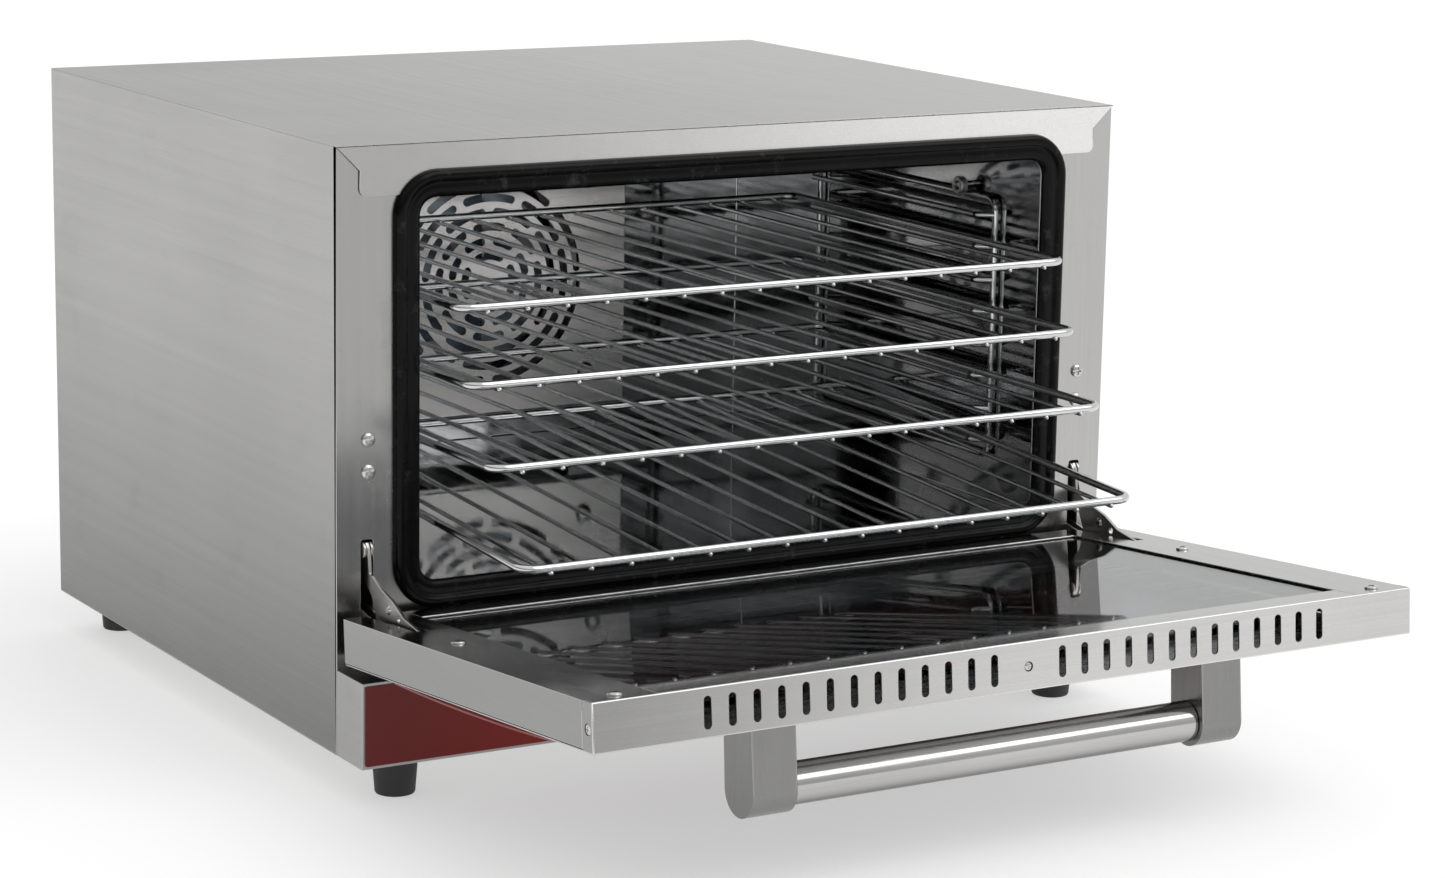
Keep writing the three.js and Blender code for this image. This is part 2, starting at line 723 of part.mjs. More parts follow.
// Folded box behind the frame whose two ears reach out through the slot to carry the pin
function hingeHousing(side) {
  const front = sheet + gap;
  const x0 = side * hingeX - housingWidth / 2;
  const x1 = side * hingeX + housingWidth / 2;
  const shell = cut(
    box(x0, x1, front, front + housingDepth, housingBottom, housingTop),
    box(x0 + sheet, x1 - sheet, front + sheet, front + housingDepth - sheet, housingBottom - 1, housingTop - sheet),
    box(
      side * hingeX - slotWidth / 2, side * hingeX + slotWidth / 2, front - 1, front + sheet + 1, slotBottom, slotTop,
    ),
  );
  const bossRadius = 7;
  const earBack = front + 6;
  const ear = new THREE.Shape();
  ear.moveTo(front, slotBottom - 8);
  ear.lineTo(earBack, slotBottom - 8);
  ear.lineTo(earBack, pivotZ + 20);
  ear.lineTo(pivotY + 10, pivotZ + 15);
  ear.absarc(pivotY, pivotZ, bossRadius, THREE.MathUtils.degToRad(60), THREE.MathUtils.degToRad(250), false);
  ear.lineTo(-6, pivotZ - 13);
  ear.lineTo(front, slotBottom + 1);
  const pinHole = barX(pinRadius + gap, side * hingeX - 20, pivotY, pivotZ, 40, 12);
  const ears = [-1, 1].map((face) => {
    const x = side * hingeX + (face < 0 ? -earOffset - earThickness : earOffset);
    return sidePlate(ear, x, earThickness, 5);
  });
  return cut(join(shell, ...ears), pinHole);
}

function hingePin() {
  const reach = earOffset + earThickness + gap;
  const headRadius = 4.2;
  const head = 1;
  return latheY([
    [0, -reach - head], [headRadius, -reach - head], [headRadius, -reach], [pinRadius, -reach], [pinRadius, reach],
    [headRadius, reach], [headRadius, reach + head], [0, reach + head],
  ], 12).rotateZ(Math.PI / 2);
}

// Hooked lever of the open door, in the door's own frame: screwed inside the door, it turns about the pin
// and its tail carries a roller back through the frame's slot
function hingeArm() {
  const open = (y, z) => {
    const spot = new THREE.Vector2(y - pivotY, z - pivotZ).rotateAround(new THREE.Vector2(), -openAngle);
    return [spot.x, spot.y];
  };
  const tailY = pivotY + tailForward;
  const tailZ = pivotZ + tailUp;
  const outline = polygon([
    open(pivotY - 54, pivotZ + 21), open(pivotY - 29, pivotZ + 25), open(pivotY - 13.1, pivotZ + 32.3),
    open(pivotY + 6, pivotZ + 37), open(pivotY + 20.4, pivotZ + 43), open(tailY - 5, tailZ + 1), open(tailY - 2, tailZ + 5),
    open(tailY + 3, tailZ + 5), open(tailY + 6, tailZ), open(pivotY + 32, pivotZ + 40), open(pivotY + 17.5, pivotZ + 30),
    open(pivotY + 9, pivotZ + 14), open(pivotY + 8, pivotZ - 4), open(pivotY, pivotZ - 8), open(pivotY - 80, pivotZ + 1),
    open(pivotY - 80, pivotZ + 14), open(pivotY - 58, pivotZ + 13),
  ]);
  const [rollerY, rollerZ] = open(tailY, tailZ);
  const plate = sidePlate(outline, -armThickness / 2, armThickness);
  return cut(
    plate,
    barX(pinRadius + runningGap, -10, 0, 0, 20, 12),
    barX(studRadius + runningGap, -10, rollerY, rollerZ, 20, 12),
  );
}

function hingeRoller() {
  const reach = armThickness / 2 + gap;
  const end = rollerWidth / 2;
  return latheY([
    [0, -end], [rollerRadius, -end], [rollerRadius, -reach], [studRadius, -reach], [studRadius, reach],
    [rollerRadius, reach], [rollerRadius, end], [0, end],
  ], 16).rotateZ(Math.PI / 2);
}

function hinges() {
  const group = new THREE.Group();
  for (const [word, side] of [['left', -1], ['right', 1]]) {
    group.add(part(`hinge_housing_${word}`, hingeHousing(side), zinc));
    group.add(part(`hinge_pin_${word}`, hingePin(), zinc, side * hingeX, pivotY, pivotZ));
    const springLow = slotTop + 12;
    const springHigh = housingTop - sheet - gap;
    const spring = new THREE.CylinderGeometry(springRadius, springRadius, springHigh - springLow, 14);
    spring.rotateX(Math.PI / 2);
    const springMesh = part(`hinge_spring_${word}`, spring, zinc, side * hingeX, 44, (springLow + springHigh) / 2);
    group.add(springMesh);
  }
  return group;
}

// Door, in its own frame: origin on the hinge line, upright, +Y towards the cavity

const innerFace = pivotIn;                       // y of the inner face
const outerFace = pivotIn - doorThickness;       // y of the outer face
const doorBottom = -pivotUp;
const doorTop = doorLength - pivotUp;
const skinY = outerFace + sheet + gap;           // back of the pieces that lie on the outer panel
const glassLow = doorBottom + doorBottomStrip;
const glassHigh = doorTop - doorTopStrip;
const glassHalf = halfWidth - doorSideWidth;

// Outer skin: window, a top flange full of vents, and tabs of that flange round both sides
function doorOuterPanel() {
  const low = doorBottom + 1.5;
  const skin = box(-halfWidth, halfWidth, outerFace, outerFace + sheet, low, doorTop);
  const windowHole = frontPlate(
    roundedRect(
      -halfWidth + windowMarginSide, halfWidth - windowMarginSide,
      doorBottom + windowMarginBottom, doorTop - windowMarginTop, 12,
    ),
    outerFace - 1, sheet + 2,
  );
  const flange = box(-halfWidth, halfWidth, outerFace, innerFace, doorTop - sheet, doorTop);
  const tabs = [-1, 1].map((side) => {
    const x = side < 0 ? -halfWidth : halfWidth - sheet;
    return box(x, x + sheet, outerFace, innerFace, doorTop - wrapLength, doorTop);
  });
  const vents = [];
  const middle = innerFace - doorThickness / 2;
  const ventsPerSide = Math.floor((halfWidth - ventLast - ventFirst) / ventPitch) + 1;
  for (let index = 0; index < ventsPerSide; index += 1) {
    for (const side of [-1, 1]) {
      const x = side * (ventFirst + index * ventPitch);
      const outline = roundedRect(
        x - ventWidth / 2, x + ventWidth / 2, middle - ventHeight / 2, middle + ventHeight / 2, ventWidth / 2,
      );
      vents.push(extrude(outline, sheet + 2, 1).translate(0, 0, doorTop - sheet - 1));
    }
  }
  return cut(join(skin, flange, ...tabs), windowHole, ...vents);
}

// Side channel of the door's inner frame, slotted for the hinge arm and the ears that carry its pin
function doorSide(side) {
  const top = doorTop - sheet - gap;
  const inner = side * glassHalf;
  const outer = side * halfWidth;
  const wallEnd = doorTop - wrapLength - gap;
  const xLow = Math.min(inner, outer);
  const xHigh = Math.max(inner, outer);
  const wallLow = side < 0 ? -halfWidth : halfWidth - sheet;
  const channel = join(
    box(side < 0 ? xLow + sheet + gap : xLow, side < 0 ? xHigh : xHigh - sheet - gap, innerFace - sheet, innerFace, wallEnd - 1, top),
    box(xLow, xHigh, innerFace - sheet, innerFace, doorBottom, wallEnd),
    box(wallLow, wallLow + sheet, skinY, innerFace, doorBottom, wallEnd),
    box(xLow, xHigh, skinY, innerFace, doorBottom, doorBottom + sheet),
  );
  const slotHalf = slotWidth / 2 + 1.4;
  const notch = box(
    side * hingeX - slotHalf, side * hingeX + slotHalf, skinY - 1, innerFace + 1, doorBottom - 1, doorBottom + 36,
  );
  const armSlot = box(
    side * hingeX - slotWidth / 2, side * hingeX + slotWidth / 2, innerFace - sheet - 1, innerFace + 1,
    doorBottom + 30, doorBottom + 69,
  );
  return cut(channel, notch, armSlot);
}

function doorStrip(low, high, wallAt, wallDepth) {
  const half = glassHalf - gap;
  return join(
    box(-half, half, innerFace - sheet, innerFace, low, high),
    box(-half, half, innerFace - wallDepth, innerFace, wallAt, wallAt + sheet),
  );
}

function doorPieces() {
  const group = new THREE.Group();
  const paneY = innerFace - sheet - gap - glassThickness;
  const paneHalf = glassHalf + glassLap;
  const innerGlass = box(-paneHalf, paneHalf, paneY, paneY + glassThickness, glassLow - glassLap, glassHigh + glassLap);
  const outerGlass = box(
    -halfWidth + windowMarginSide - glassLap, halfWidth - windowMarginSide + glassLap, skinY, skinY + glassThickness,
    doorBottom + windowMarginBottom - glassLap, doorTop - windowMarginTop + glassLap,
  );
  group.add(part('door_outer_panel', doorOuterPanel(), brushed));
  group.add(part('door_side_left', doorSide(-1), brushed));
  group.add(part('door_side_right', doorSide(1), brushed));
  const topLip = (doorThickness - ventHeight) / 2 - 1;   // clear of the vents
  const topStrip = doorStrip(glassHigh, doorTop - sheet - gap, doorTop - 2 * sheet - gap, topLip);
  group.add(part('door_top_strip', topStrip, brushed));
  const bottomStrip = doorStrip(doorBottom, glassLow, doorBottom, innerFace - skinY);
  group.add(part('door_bottom_strip', bottomStrip, brushed));
  group.add(part('door_inner_glass', innerGlass, glass));
  group.add(part('door_outer_glass', outerGlass, glass));
  return group;
}

// Bar on two round-nosed brackets that are screwed to the outer panel
function handlePieces() {
  const group = new THREE.Group();
  const barY0 = innerFace - handleReach;
  const barZ = doorTop - handleFromTop;
  const nose = new THREE.Shape();
  nose.moveTo(outerFace - gap, barZ - bracketRadius);
  nose.lineTo(outerFace - gap, barZ + bracketRadius);
  nose.absarc(barY0, barZ, bracketRadius, Math.PI / 2, 1.5 * Math.PI, false);
  for (const [word, side] of [['left', -1], ['right', 1]]) {
    const x = side < 0 ? -handleInnerHalf - bracketWidth : handleInnerHalf;
    group.add(part(`handle_bracket_${word}`, sidePlate(nose, x, bracketWidth, 12), brushed));
  }
  const length = 2 * (handleInnerHalf - gap);
  const bar = cut(
    barX(handleBarRadius, -length / 2, 0, 0, length, 28),
    barX(handleBarRadius - handleBarWall, -length / 2 - 1, 0, 0, length + 2, 20),
  );
  group.add(part('handle_bar', bar, brushed, 0, barY0, barZ));
  return group;
}

function doorHinges() {
  const group = new THREE.Group();
  const reach = new THREE.Vector2(tailForward, tailUp).rotateAround(new THREE.Vector2(), -openAngle);
  for (const [word, side] of [['left', -1], ['right', 1]]) {
    group.add(part(`hinge_arm_${word}`, hingeArm(), zinc, side * hingeX));
    group.add(part(`hinge_roller_${word}`, hingeRoller(), zinc, side * hingeX, reach.x, reach.y));
  }
  return group;
}

// Assembly

function foot() {
  return latheY([
    [0, -footHeight], [footBottomRadius - 1, -footHeight], [footBottomRadius, -footHeight + 1],
    [footTopRadius, -gap - 3], [footTopRadius, -gap], [0, -gap],
  ], 20).rotateX(Math.PI / 2);
}

const cabinet = new THREE.Group();
cabinet.add(part('casing_shell', casingShell(), brushed));
cabinet.add(part('front_frame', frontFrame(), polished));
cabinet.add(part('cavity_liner', cavityLiner(), polished));
cabinet.add(part('insulation_wrap', insulationWrap(), wool));
cabinet.add(part('door_gasket', doorGasket(), silicone));
cabinet.add(part('base_pan', basePan(), zinc));
cabinet.add(part('back_cover', backCover(), brushed));
cabinet.add(cableGland());
cabinet.add(part('control_box', controlBox(), brushed));
cabinet.add(part('control_overlay', controlOverlay(), red));
cabinet.add(controls());
cabinet.add(part('fan_baffle', fanBaffle(), polished));
baffleStudPlaces().forEach(([x, z], index) => {
  cabinet.add(part(`baffle_nut_${index + 1}`, domedNut(), chrome, x, baffleFace - gap, z));
});
cabinet.add(part('heating_element', heatingElement(), darkPaint));
cabinet.add(part('fan_motor', fanMotor(), darkPaint, 0, cavityBack + linerSheet + gap, fanZ));
const fanBack = cavityBack - 14;
cabinet.add(part('fan_wheel', fanWheel(), zinc, 0, fanBack, fanZ));
const shaft = barY(fanShaftRadius, 0, 0, 0, fanDepth + 40, 12);
cabinet.add(part('fan_shaft', shaft, zinc, 0, fanBack - fanDepth + 6, fanZ));
for (const [word, side] of [['left', -1], ['right', 1]]) {
  cabinet.add(part(`rack_support_${word}`, rackSupport(side), chrome));
  const nutX = side < 0 ? -cavityHalf + 2 * railPostInset : cavityHalf - 2 * railPostInset - thumbNutWidth;
  cabinet.add(part(`support_nut_${word}`, thumbNut(), zinc, nutX, studFromFront, railStudZ()));
}
for (const [word, y] of [['front', footInsetFront], ['rear', depth - footInsetBack]]) {
  for (const [sideWord, side] of [['left', -1], ['right', 1]]) {
    cabinet.add(part(`foot_${word}_${sideWord}`, foot(), rubber, side * (halfWidth - footInsetSide), y, 0));
  }
}
cabinet.add(hinges());

const racks = new THREE.Group();
for (let index = 0; index < rackCount; index += 1) {
  const tilt = THREE.MathUtils.degToRad(rackTilt[index]);
  const frontY = rackFrontIn - rackPullOut[index];
  const drop = (railFrontPost - frontY) * Math.tan(tilt);
  const mesh = part(`rack_${index + 1}`, rack(), chrome, 0, frontY, rackLevel(index) - drop);
  mesh.rotation.x = tilt;
  racks.add(mesh);
}

const door = new THREE.Group();
door.add(doorPieces(), handlePieces(), doorHinges());
door.position.set(0, pivotY, pivotZ);
door.rotation.x = openAngle;

// Origin under the middle of the open oven, on the surface that it stands on
const farFront = pivotY - doorReach;
const farBack = depth - sheet - 2.7 + sheet + 3 + glandLength;
const oven = new THREE.Group();
oven.add(cabinet, racks, door);
oven.position.set(0, -(farFront + farBack) / 2, footHeight);

const assembly = new THREE.Group();
assembly.add(oven);

export default assembly;
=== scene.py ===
import math

import bmesh
import bpy
from mathutils import Matrix, Vector


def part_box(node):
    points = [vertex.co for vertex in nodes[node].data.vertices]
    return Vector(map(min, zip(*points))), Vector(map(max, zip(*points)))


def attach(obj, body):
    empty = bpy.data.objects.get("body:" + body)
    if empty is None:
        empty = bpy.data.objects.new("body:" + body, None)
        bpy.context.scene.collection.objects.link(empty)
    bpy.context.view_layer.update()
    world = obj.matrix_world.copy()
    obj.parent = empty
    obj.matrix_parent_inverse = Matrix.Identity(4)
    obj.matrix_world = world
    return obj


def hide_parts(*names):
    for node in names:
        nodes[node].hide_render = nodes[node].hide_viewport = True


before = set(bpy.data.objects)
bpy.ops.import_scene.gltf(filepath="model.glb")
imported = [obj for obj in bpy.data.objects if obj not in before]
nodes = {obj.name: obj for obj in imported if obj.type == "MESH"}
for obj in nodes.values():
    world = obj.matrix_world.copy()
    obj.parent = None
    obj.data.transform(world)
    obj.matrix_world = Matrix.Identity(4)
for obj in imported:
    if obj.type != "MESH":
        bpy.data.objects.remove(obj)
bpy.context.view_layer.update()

print("frame loaded:", len(nodes), "nodes")

# Places, from the CAD: x = 0 is the middle, y = 0 the face of the front frame, z = 0 the casing's underside
mm = 0.001
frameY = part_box("front_frame")[0].y
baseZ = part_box("casing_shell")[0].z
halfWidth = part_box("casing_shell")[1].x / mm
hingePin = sum(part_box("hinge_pin_left"), Vector()) / 2
doorAngle = 85.3
doorPlace = (
    Matrix.Translation((0, hingePin.y, hingePin.z)) @ Matrix.Rotation(math.radians(doorAngle), 4, "X")
)


def at(x, y, z):
    return Vector((x * mm, frameY + y * mm, baseZ + z * mm))


def middle(node):
    low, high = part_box(node)
    return (low + high) / 2


# Two small classes that build a material node by node
class Value:
    # one output of a node, so that shader maths reads as plain sums
    def __init__(self, maker, socket):
        self.maker = maker
        self.socket = socket

    def maths(self, operation, first, second=0.0):
        return self.maker.node("ShaderNodeMath", {"operation": operation}, {0: first, 1: second})

    def __add__(self, other):
        return self.maths("ADD", self, other)

    def __radd__(self, other):
        return self.maths("ADD", other, self)

    def __sub__(self, other):
        return self.maths("SUBTRACT", self, other)

    def __rsub__(self, other):
        return self.maths("SUBTRACT", other, self)

    def __mul__(self, other):
        return self.maths("MULTIPLY", self, other)

    def __rmul__(self, other):
        return self.maths("MULTIPLY", other, self)

    def size(self):
        return self.maths("ABSOLUTE", self)

    def most(self, other):
        return self.maths("MAXIMUM", self, other)

    def band(self, low, high):     # 0 below low, 1 above high
        return self.maker.node("ShaderNodeMapRange", {"interpolation_type": "SMOOTHSTEP"}, {
            "Value": self, "From Min": low, "From Max": high, "To Min": 0.0, "To Max": 1.0,
        })


class Maker:
    # builds one material, or the studio's sky, node by node
    def __init__(self, name, sky=False):
        self.material = bpy.data.worlds.new(name) if sky else bpy.data.materials.new(name)
        self.material.use_nodes = True
        self.nodes = self.material.node_tree.nodes
        self.links = self.material.node_tree.links
        self.nodes.clear()
        self.place = self.node("ShaderNodeTexCoord", output="Generated" if sky else "Object")
        if not sky:
            self.worn = self.node("ShaderNodeAttribute", {"attribute_name": "worn"}, output="Fac")

    def node(self, kind, settings=None, sockets=None, output=0):
        made = self.nodes.new(kind)
        for key, value in (settings or {}).items():
            setattr(made, key, value)
        for key, value in (sockets or {}).items():
            if isinstance(value, Value):
                self.links.new(value.socket, made.inputs[key])
            else:
                made.inputs[key].default_value = value
        return None if output is None else Value(self, made.outputs[output])

    def stretch(self, scale):
        return self.node("ShaderNodeMapping", {}, {"Vector": self.place, "Scale": scale})

    def axes(self):
        split = self.node("ShaderNodeSeparateXYZ", {}, {0: self.place}).socket.node
        return [Value(self, socket) for socket in split.outputs]

    def noise(self, scale, detail=3.0, roughness=0.5, distortion=0.0, place=None):
        return self.node("ShaderNodeTexNoise", {}, {
            "Vector": place or self.place, "Scale": scale, "Detail": detail, "Roughness": roughness,
            "Distortion": distortion,
        })

    def mix(self, amount, first, second):
        # sockets 0, 6 and 7 are the colour mix's amount and its two colours, output 2 its result
        return self.node("ShaderNodeMix", {"data_type": "RGBA"}, {0: amount, 6: first, 7: second}, 2)

    def bump(self, height, strength, distance, under=None):
        sockets = {"Height": height, "Strength": strength, "Distance": distance}
        if under:
            sockets["Normal"] = under
        return self.node("ShaderNodeBump", {}, sockets)

    def finish(self, **sockets):
        named = {key.replace("_", " "): value for key, value in sockets.items()}
        shader = self.node("ShaderNodeBsdfPrincipled", {}, named)
        end = self.nodes.new("ShaderNodeOutputMaterial")
        self.links.new(shader.socket, end.inputs["Surface"])
        return self.material


def grey(level, warm=0.0):
    return (level * (1 + warm), level, level * (1 - warm), 1)


def steel(name, tone, rough, grain, bumps=0.12, waves=0.0, smudge=0.06, warm=0.01, paintedLightAndShade=(), edgeOnShade=None):
    # each painted light and shade entry is one or more (axis, from, to) in metres, then the tone it goes to:
    # lighter is painted light, darker is painted shade
    # the edge-on tone is painted shade: the darker tone where the surface is seen edge-on
    make = Maker(name)
    fine = make.noise(1, 4, 0.6, place=make.stretch(grain))
    streak = make.noise(1, 3, 0.5, place=make.stretch([side / 7 for side in grain]))
    cloud = make.noise(4.5, 2, 0.5)
    touched = make.noise(21, 4, 0.55, 0.8).band(0.55, 0.72)      # finger marks and wiping
    base = make.mix(cloud.band(0.3, 0.7), grey(tone * 0.95, warm), grey(tone * 1.04, warm))
    # painted light and shade: the tone turns lighter or darker along the given axes
    for *limits, other in paintedLightAndShade:
        amount = 1.0
        for axis, start, stop in limits:
            amount = make.axes()[axis].band(start, stop) * amount
        base = make.mix(amount, base, grey(other, warm))
    # painted shade: darker where the surface is seen edge-on
    if edgeOnShade is not None:
        edgeOn = make.node("ShaderNodeLayerWeight", {}, {"Blend": 0.5}, "Facing")
        base = make.mix(edgeOn.band(0.3, 0.85), base, grey(edgeOnShade, warm))
    lined = make.mix(fine.band(0.35, 0.75) * 0.22, base, grey(tone * 0.72, warm))
    rubbed = make.mix(make.worn * (0.35 + 0.4 * cloud), lined, grey(min(tone * 1.35, 0.9), warm))
    roughness = rough + (streak - 0.5) * 0.16 + touched * smudge - make.worn * 0.05
    normal = make.bump(fine * 0.6 + streak * 0.4, bumps, 0.0002)
    if waves:
        roll = make.noise(1, 1, 0.4, place=make.stretch((7, 7, 11)))
        normal = make.bump(roll, 1.0, waves * mm, normal)
    return make.finish(Base_Color=rubbed, Metallic=1.0, Roughness=roughness.most(0.04), Normal=normal)


def plastic(name, dark, light, rough, grainSize=900, bumps=0.15, level=0.5):
    make = Maker(name)
    cloud = make.noise(14, 3)
    grain = make.noise(grainSize, 2, 0.6)
    dust = make.noise(60, 5, 0.7).band(0.56, 0.74)
    base = make.mix(cloud.band(0.3, 0.7), dark, light)
    dusted = make.mix(dust * 0.07 + make.worn * 0.18, base, grey(0.35))
    roughness = rough + (cloud - 0.5) * 0.12 + dust * 0.08
    return make.finish(
        Base_Color=dusted, Roughness=roughness.most(0.03), Specular_IOR_Level=level,
        Normal=make.bump(grain, bumps, 0.0001),
    )


along = {"x": (14, 1100, 1100), "y": (1100, 14, 1100), "z": (1100, 1100, 14)}      # brushing direction
rightEnd, leftEnd = halfWidth * mm, -halfWidth * mm
baffleMiddle = middle("fan_wheel").x
# painted light and shade: lighter towards the right end, the front fold lighter still towards the right,
# darker towards the bottom
satinSide = steel(
    "satin_steel_side", 0.44, 0.33, along["y"], smudge=0.03,
    paintedLightAndShade=[
        ((0, leftEnd + 0.05, rightEnd), 0.56),
        ((1, frameY + 0.002, frameY), (0, leftEnd + 0.04, rightEnd), 0.86),
        ((2, baseZ + 0.4, baseZ - 0.12), 0.17),
    ],
)
# painted shade: darker towards the left end
brightFront = steel(
    "bright_steel_front", 0.48, 0.24, along["z"], bumps=0.04, waves=1.4,
    paintedLightAndShade=[((0, rightEnd, leftEnd), 0.35)],
)
# painted shade: darker towards the left end
satinDoor = steel(
    "satin_steel_door", 0.6, 0.27, along["x"], smudge=0.07, paintedLightAndShade=[((0, 0, leftEnd - 0.05), 0.28)],
)
darkDoor = steel("polished_steel_strip", 0.52, 0.14, along["x"], bumps=0.05, waves=0.3)
# painted shade: darker towards the left end
darkDoorSide = steel(
    "polished_steel_door_side", 0.5, 0.16, along["y"], bumps=0.05, waves=0.3,
    paintedLightAndShade=[((0, rightEnd, leftEnd), 0.3)],
)
satinBox = steel("satin_steel_box", 0.4, 0.3, along["y"], smudge=0.07)
# painted shade: darker where the bar is seen edge-on
satinHandle = steel("satin_steel_handle", 0.5, 0.12, along["x"], bumps=0.1, edgeOnShade=0.07)
satinBracket = steel("satin_steel_bracket", 0.26, 0.26, along["z"], bumps=0.16)
# painted shade: darker right of the middle, a little less dark at the right wall
mirrorCavity = steel(
    "mirror_steel_cavity", 0.82, 0.05, along["y"], bumps=0.03, waves=0.6, warm=-0.01,
    paintedLightAndShade=[((0, 0.02, 0.12), 0.3), ((0, 0.225, 0.24), 0.42)],
)
# painted light: lighter from the fan's middle towards the right
mirrorBaffle = steel(
    "mirror_steel_baffle", 0.66, 0.24, along["x"], bumps=0.05, waves=0.7, warm=0.02,
    paintedLightAndShade=[((0, baffleMiddle - 0.02, baffleMiddle + 0.1), 0.97)],
)
chromeWire = steel("chrome_wire", 0.66, 0.12, (300, 300, 300), bumps=0.04, warm=-0.005)
zincPlate = steel("zinc_plate", 0.48, 0.3, (160, 160, 160), bumps=0.08, warm=0.03)
screwSteel = steel("screw_steel", 0.62, 0.2, (260, 260, 260), bumps=0.06)
fanSteel = steel("blued_fan_steel", 0.34, 0.3, along["x"], warm=-0.12)
elementSkin = steel("element_sheath", 0.16, 0.45, (120, 120, 120), bumps=0.2, warm=0.06)
blackSeal = plastic("black_silicone", grey(0.002), grey(0.004), 0.19, 500, 0.08, level=0.11)
blackRubber = plastic("black_rubber", grey(0.014), grey(0.03), 0.6, 700, 0.3)
blackKnob = plastic("black_knob", grey(0.012), grey(0.022), 0.34, 1200, 0.2)
darkPaint = plastic("dark_paint", grey(0.03), grey(0.05), 0.45, 1200, 0.25)
whitePrint = plastic("white_print", grey(0.62), grey(0.75), 0.5)


def woolFinish():
    make = Maker("mineral_wool")
    fibres = make.noise(1, 6, 0.7, 2.0, make.stretch((260, 90, 90)))
    clump = make.noise(30, 4)
    base = make.mix(fibres.band(0.35, 0.65), (0.42, 0.36, 0.24, 1), (0.66, 0.6, 0.46, 1))
    return make.finish(
        Base_Color=make.mix(clump * 0.3, base, (0.34, 0.28, 0.18, 1)), Roughness=0.85 + 0.1 * clump,
        Normal=make.bump(fibres + clump, 0.8, 0.002),
    )


# The accent line's height over its run from startX, and where it fades out, in millimetres
accentLine = {"startX": -279, "height": 56.8, "slope": -0.55, "curve": 0.00068, "fade": (0.35, 0.9)}
deepRed, brightRed, redTurn = (0.13, 0.009, 0.006, 1), (0.3, 0.013, 0.008, 1), (-300, -120)


def overlayFinish():
    # printed film: deep red, darker at one end, with one thin pale accent line sweeping down
    make = Maker("red_overlay_film")
    x, y, z = make.axes()
    across = x * (1 / mm)
    up = (z - baseZ) * (1 / mm)
    run = across - accentLine["startX"]
    line = accentLine["height"] + accentLine["slope"] * run + accentLine["curve"] * run * run
    accent = 1 - (up - line).size().band(*accentLine["fade"])
    cloud = make.noise(6, 3)
    grain = make.noise(700, 3, 0.6)
    deep = make.mix(across.band(*redTurn), deepRed, brightRed)
    varied = make.mix(cloud.band(0.3, 0.7) * 0.2, deep, (0.15, 0.02, 0.014, 1))
    printed = make.mix(accent * 0.7, varied, (0.62, 0.30, 0.30, 1))
    scuffed = make.mix(make.worn * 0.3, printed, (0.5, 0.3, 0.28, 1))
    return make.finish(
        Base_Color=scuffed, Roughness=0.32 + (cloud - 0.5) * 0.1, Specular_IOR_Level=0.3,
        Normal=make.bump(grain, 0.06, 0.0001),
    )


def glassFinish(name, tint, density):
    make = Maker(name)
    film = make.noise(9, 4, 0.6, 0.5).band(0.45, 0.8)       # wiped film of grease
    clear, filmed = grey(tint, -0.03), grey(tint * 0.8, -0.03)
    return make.finish(
        Base_Color=make.mix(film * 0.5, clear, filmed), Roughness=0.015 + film * 0.035,
        Transmission_Weight=1.0, IOR=density,
    )


def lensFinish():
    make = Maker("amber_lens")
    swirl = make.noise(160, 3, 0.5, 0.4)
    return make.finish(
        Base_Color=make.mix(swirl, (0.75, 0.26, 0.02, 1), (0.9, 0.42, 0.05, 1)), Roughness=0.12 + 0.1 * swirl,
        Coat_Weight=0.6, Normal=make.bump(swirl, 0.1, 0.0003),
    )


wool = woolFinish()
redFilm = overlayFinish()
innerGlass = glassFinish("inner_door_glass", 0.55, 1.75)
outerGlass = glassFinish("outer_door_glass", 0.16, 1.5)
amberLens = lensFinish()
print("finishes made")


merged = 2e-6         # corners closer than this are one
touching = 1e-6       # a corner this close to a plane is on it


def settle(shape, name, body, finish, stands=(), turn=None, sharp=35, even=True):
    # a finished bmesh becomes a piece that rides on its body
    bmesh.ops.remove_doubles(shape, verts=shape.verts, dist=merged)
    bmesh.ops.recalc_face_normals(shape, faces=shape.faces)
    if turn is not None:
        bmesh.ops.transform(shape, matrix=turn, verts=shape.verts)
    mesh = bpy.data.meshes.new(name)
    shape.to_mesh(mesh)
    shape.free()
    mesh.materials.clear()
    mesh.materials.append(finish)
    for face in mesh.polygons:
        face.use_smooth = True
        face.material_index = 0
    mesh.set_sharp_from_angle(angle=math.radians(sharp))
    piece = bpy.data.objects.new(name, mesh)
    bpy.context.scene.collection.objects.link(piece)
    if even:
        piece.modifiers.new("even", "WEIGHTED_NORMAL").keep_sharp = True
    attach(piece, body)
    if stands:
        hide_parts(*stands)


def soften(shape, edge, sharp=35, segments=2, chosen=None):
    # rounds the sharp edges and marks them as worn
    bmesh.ops.remove_doubles(shape, verts=shape.verts, dist=merged)
    bmesh.ops.dissolve_limit(
        shape, angle_limit=math.radians(1), verts=shape.verts, edges=shape.edges,
        use_dissolve_boundaries=False,
    )
    worn = shape.faces.layers.float.get("worn") or shape.faces.layers.float.new("worn")
    limit = math.radians(sharp)
    shortest = 2.6 * edge * mm      # a shorter edge has no room for its rounding
    crease = [
        e for e in shape.edges
        if e.is_manifold and e.calc_face_angle(0) > limit and e.calc_length() > shortest
        and (chosen is None or chosen(e))
    ]
    made = bmesh.ops.bevel(
        shape, geom=crease, offset=edge * mm, offset_type="OFFSET", affect="EDGES", segments=segments,
        profile=0.5, material=-1, clamp_overlap=False,
    )
    for face in made["faces"]:
        face[worn] = 1
    return shape


def copyOf(node):
    shape = bmesh.new()
    shape.from_mesh(nodes[node].data)
    bmesh.ops.remove_doubles(shape, verts=shape.verts, dist=merged)
    return shape


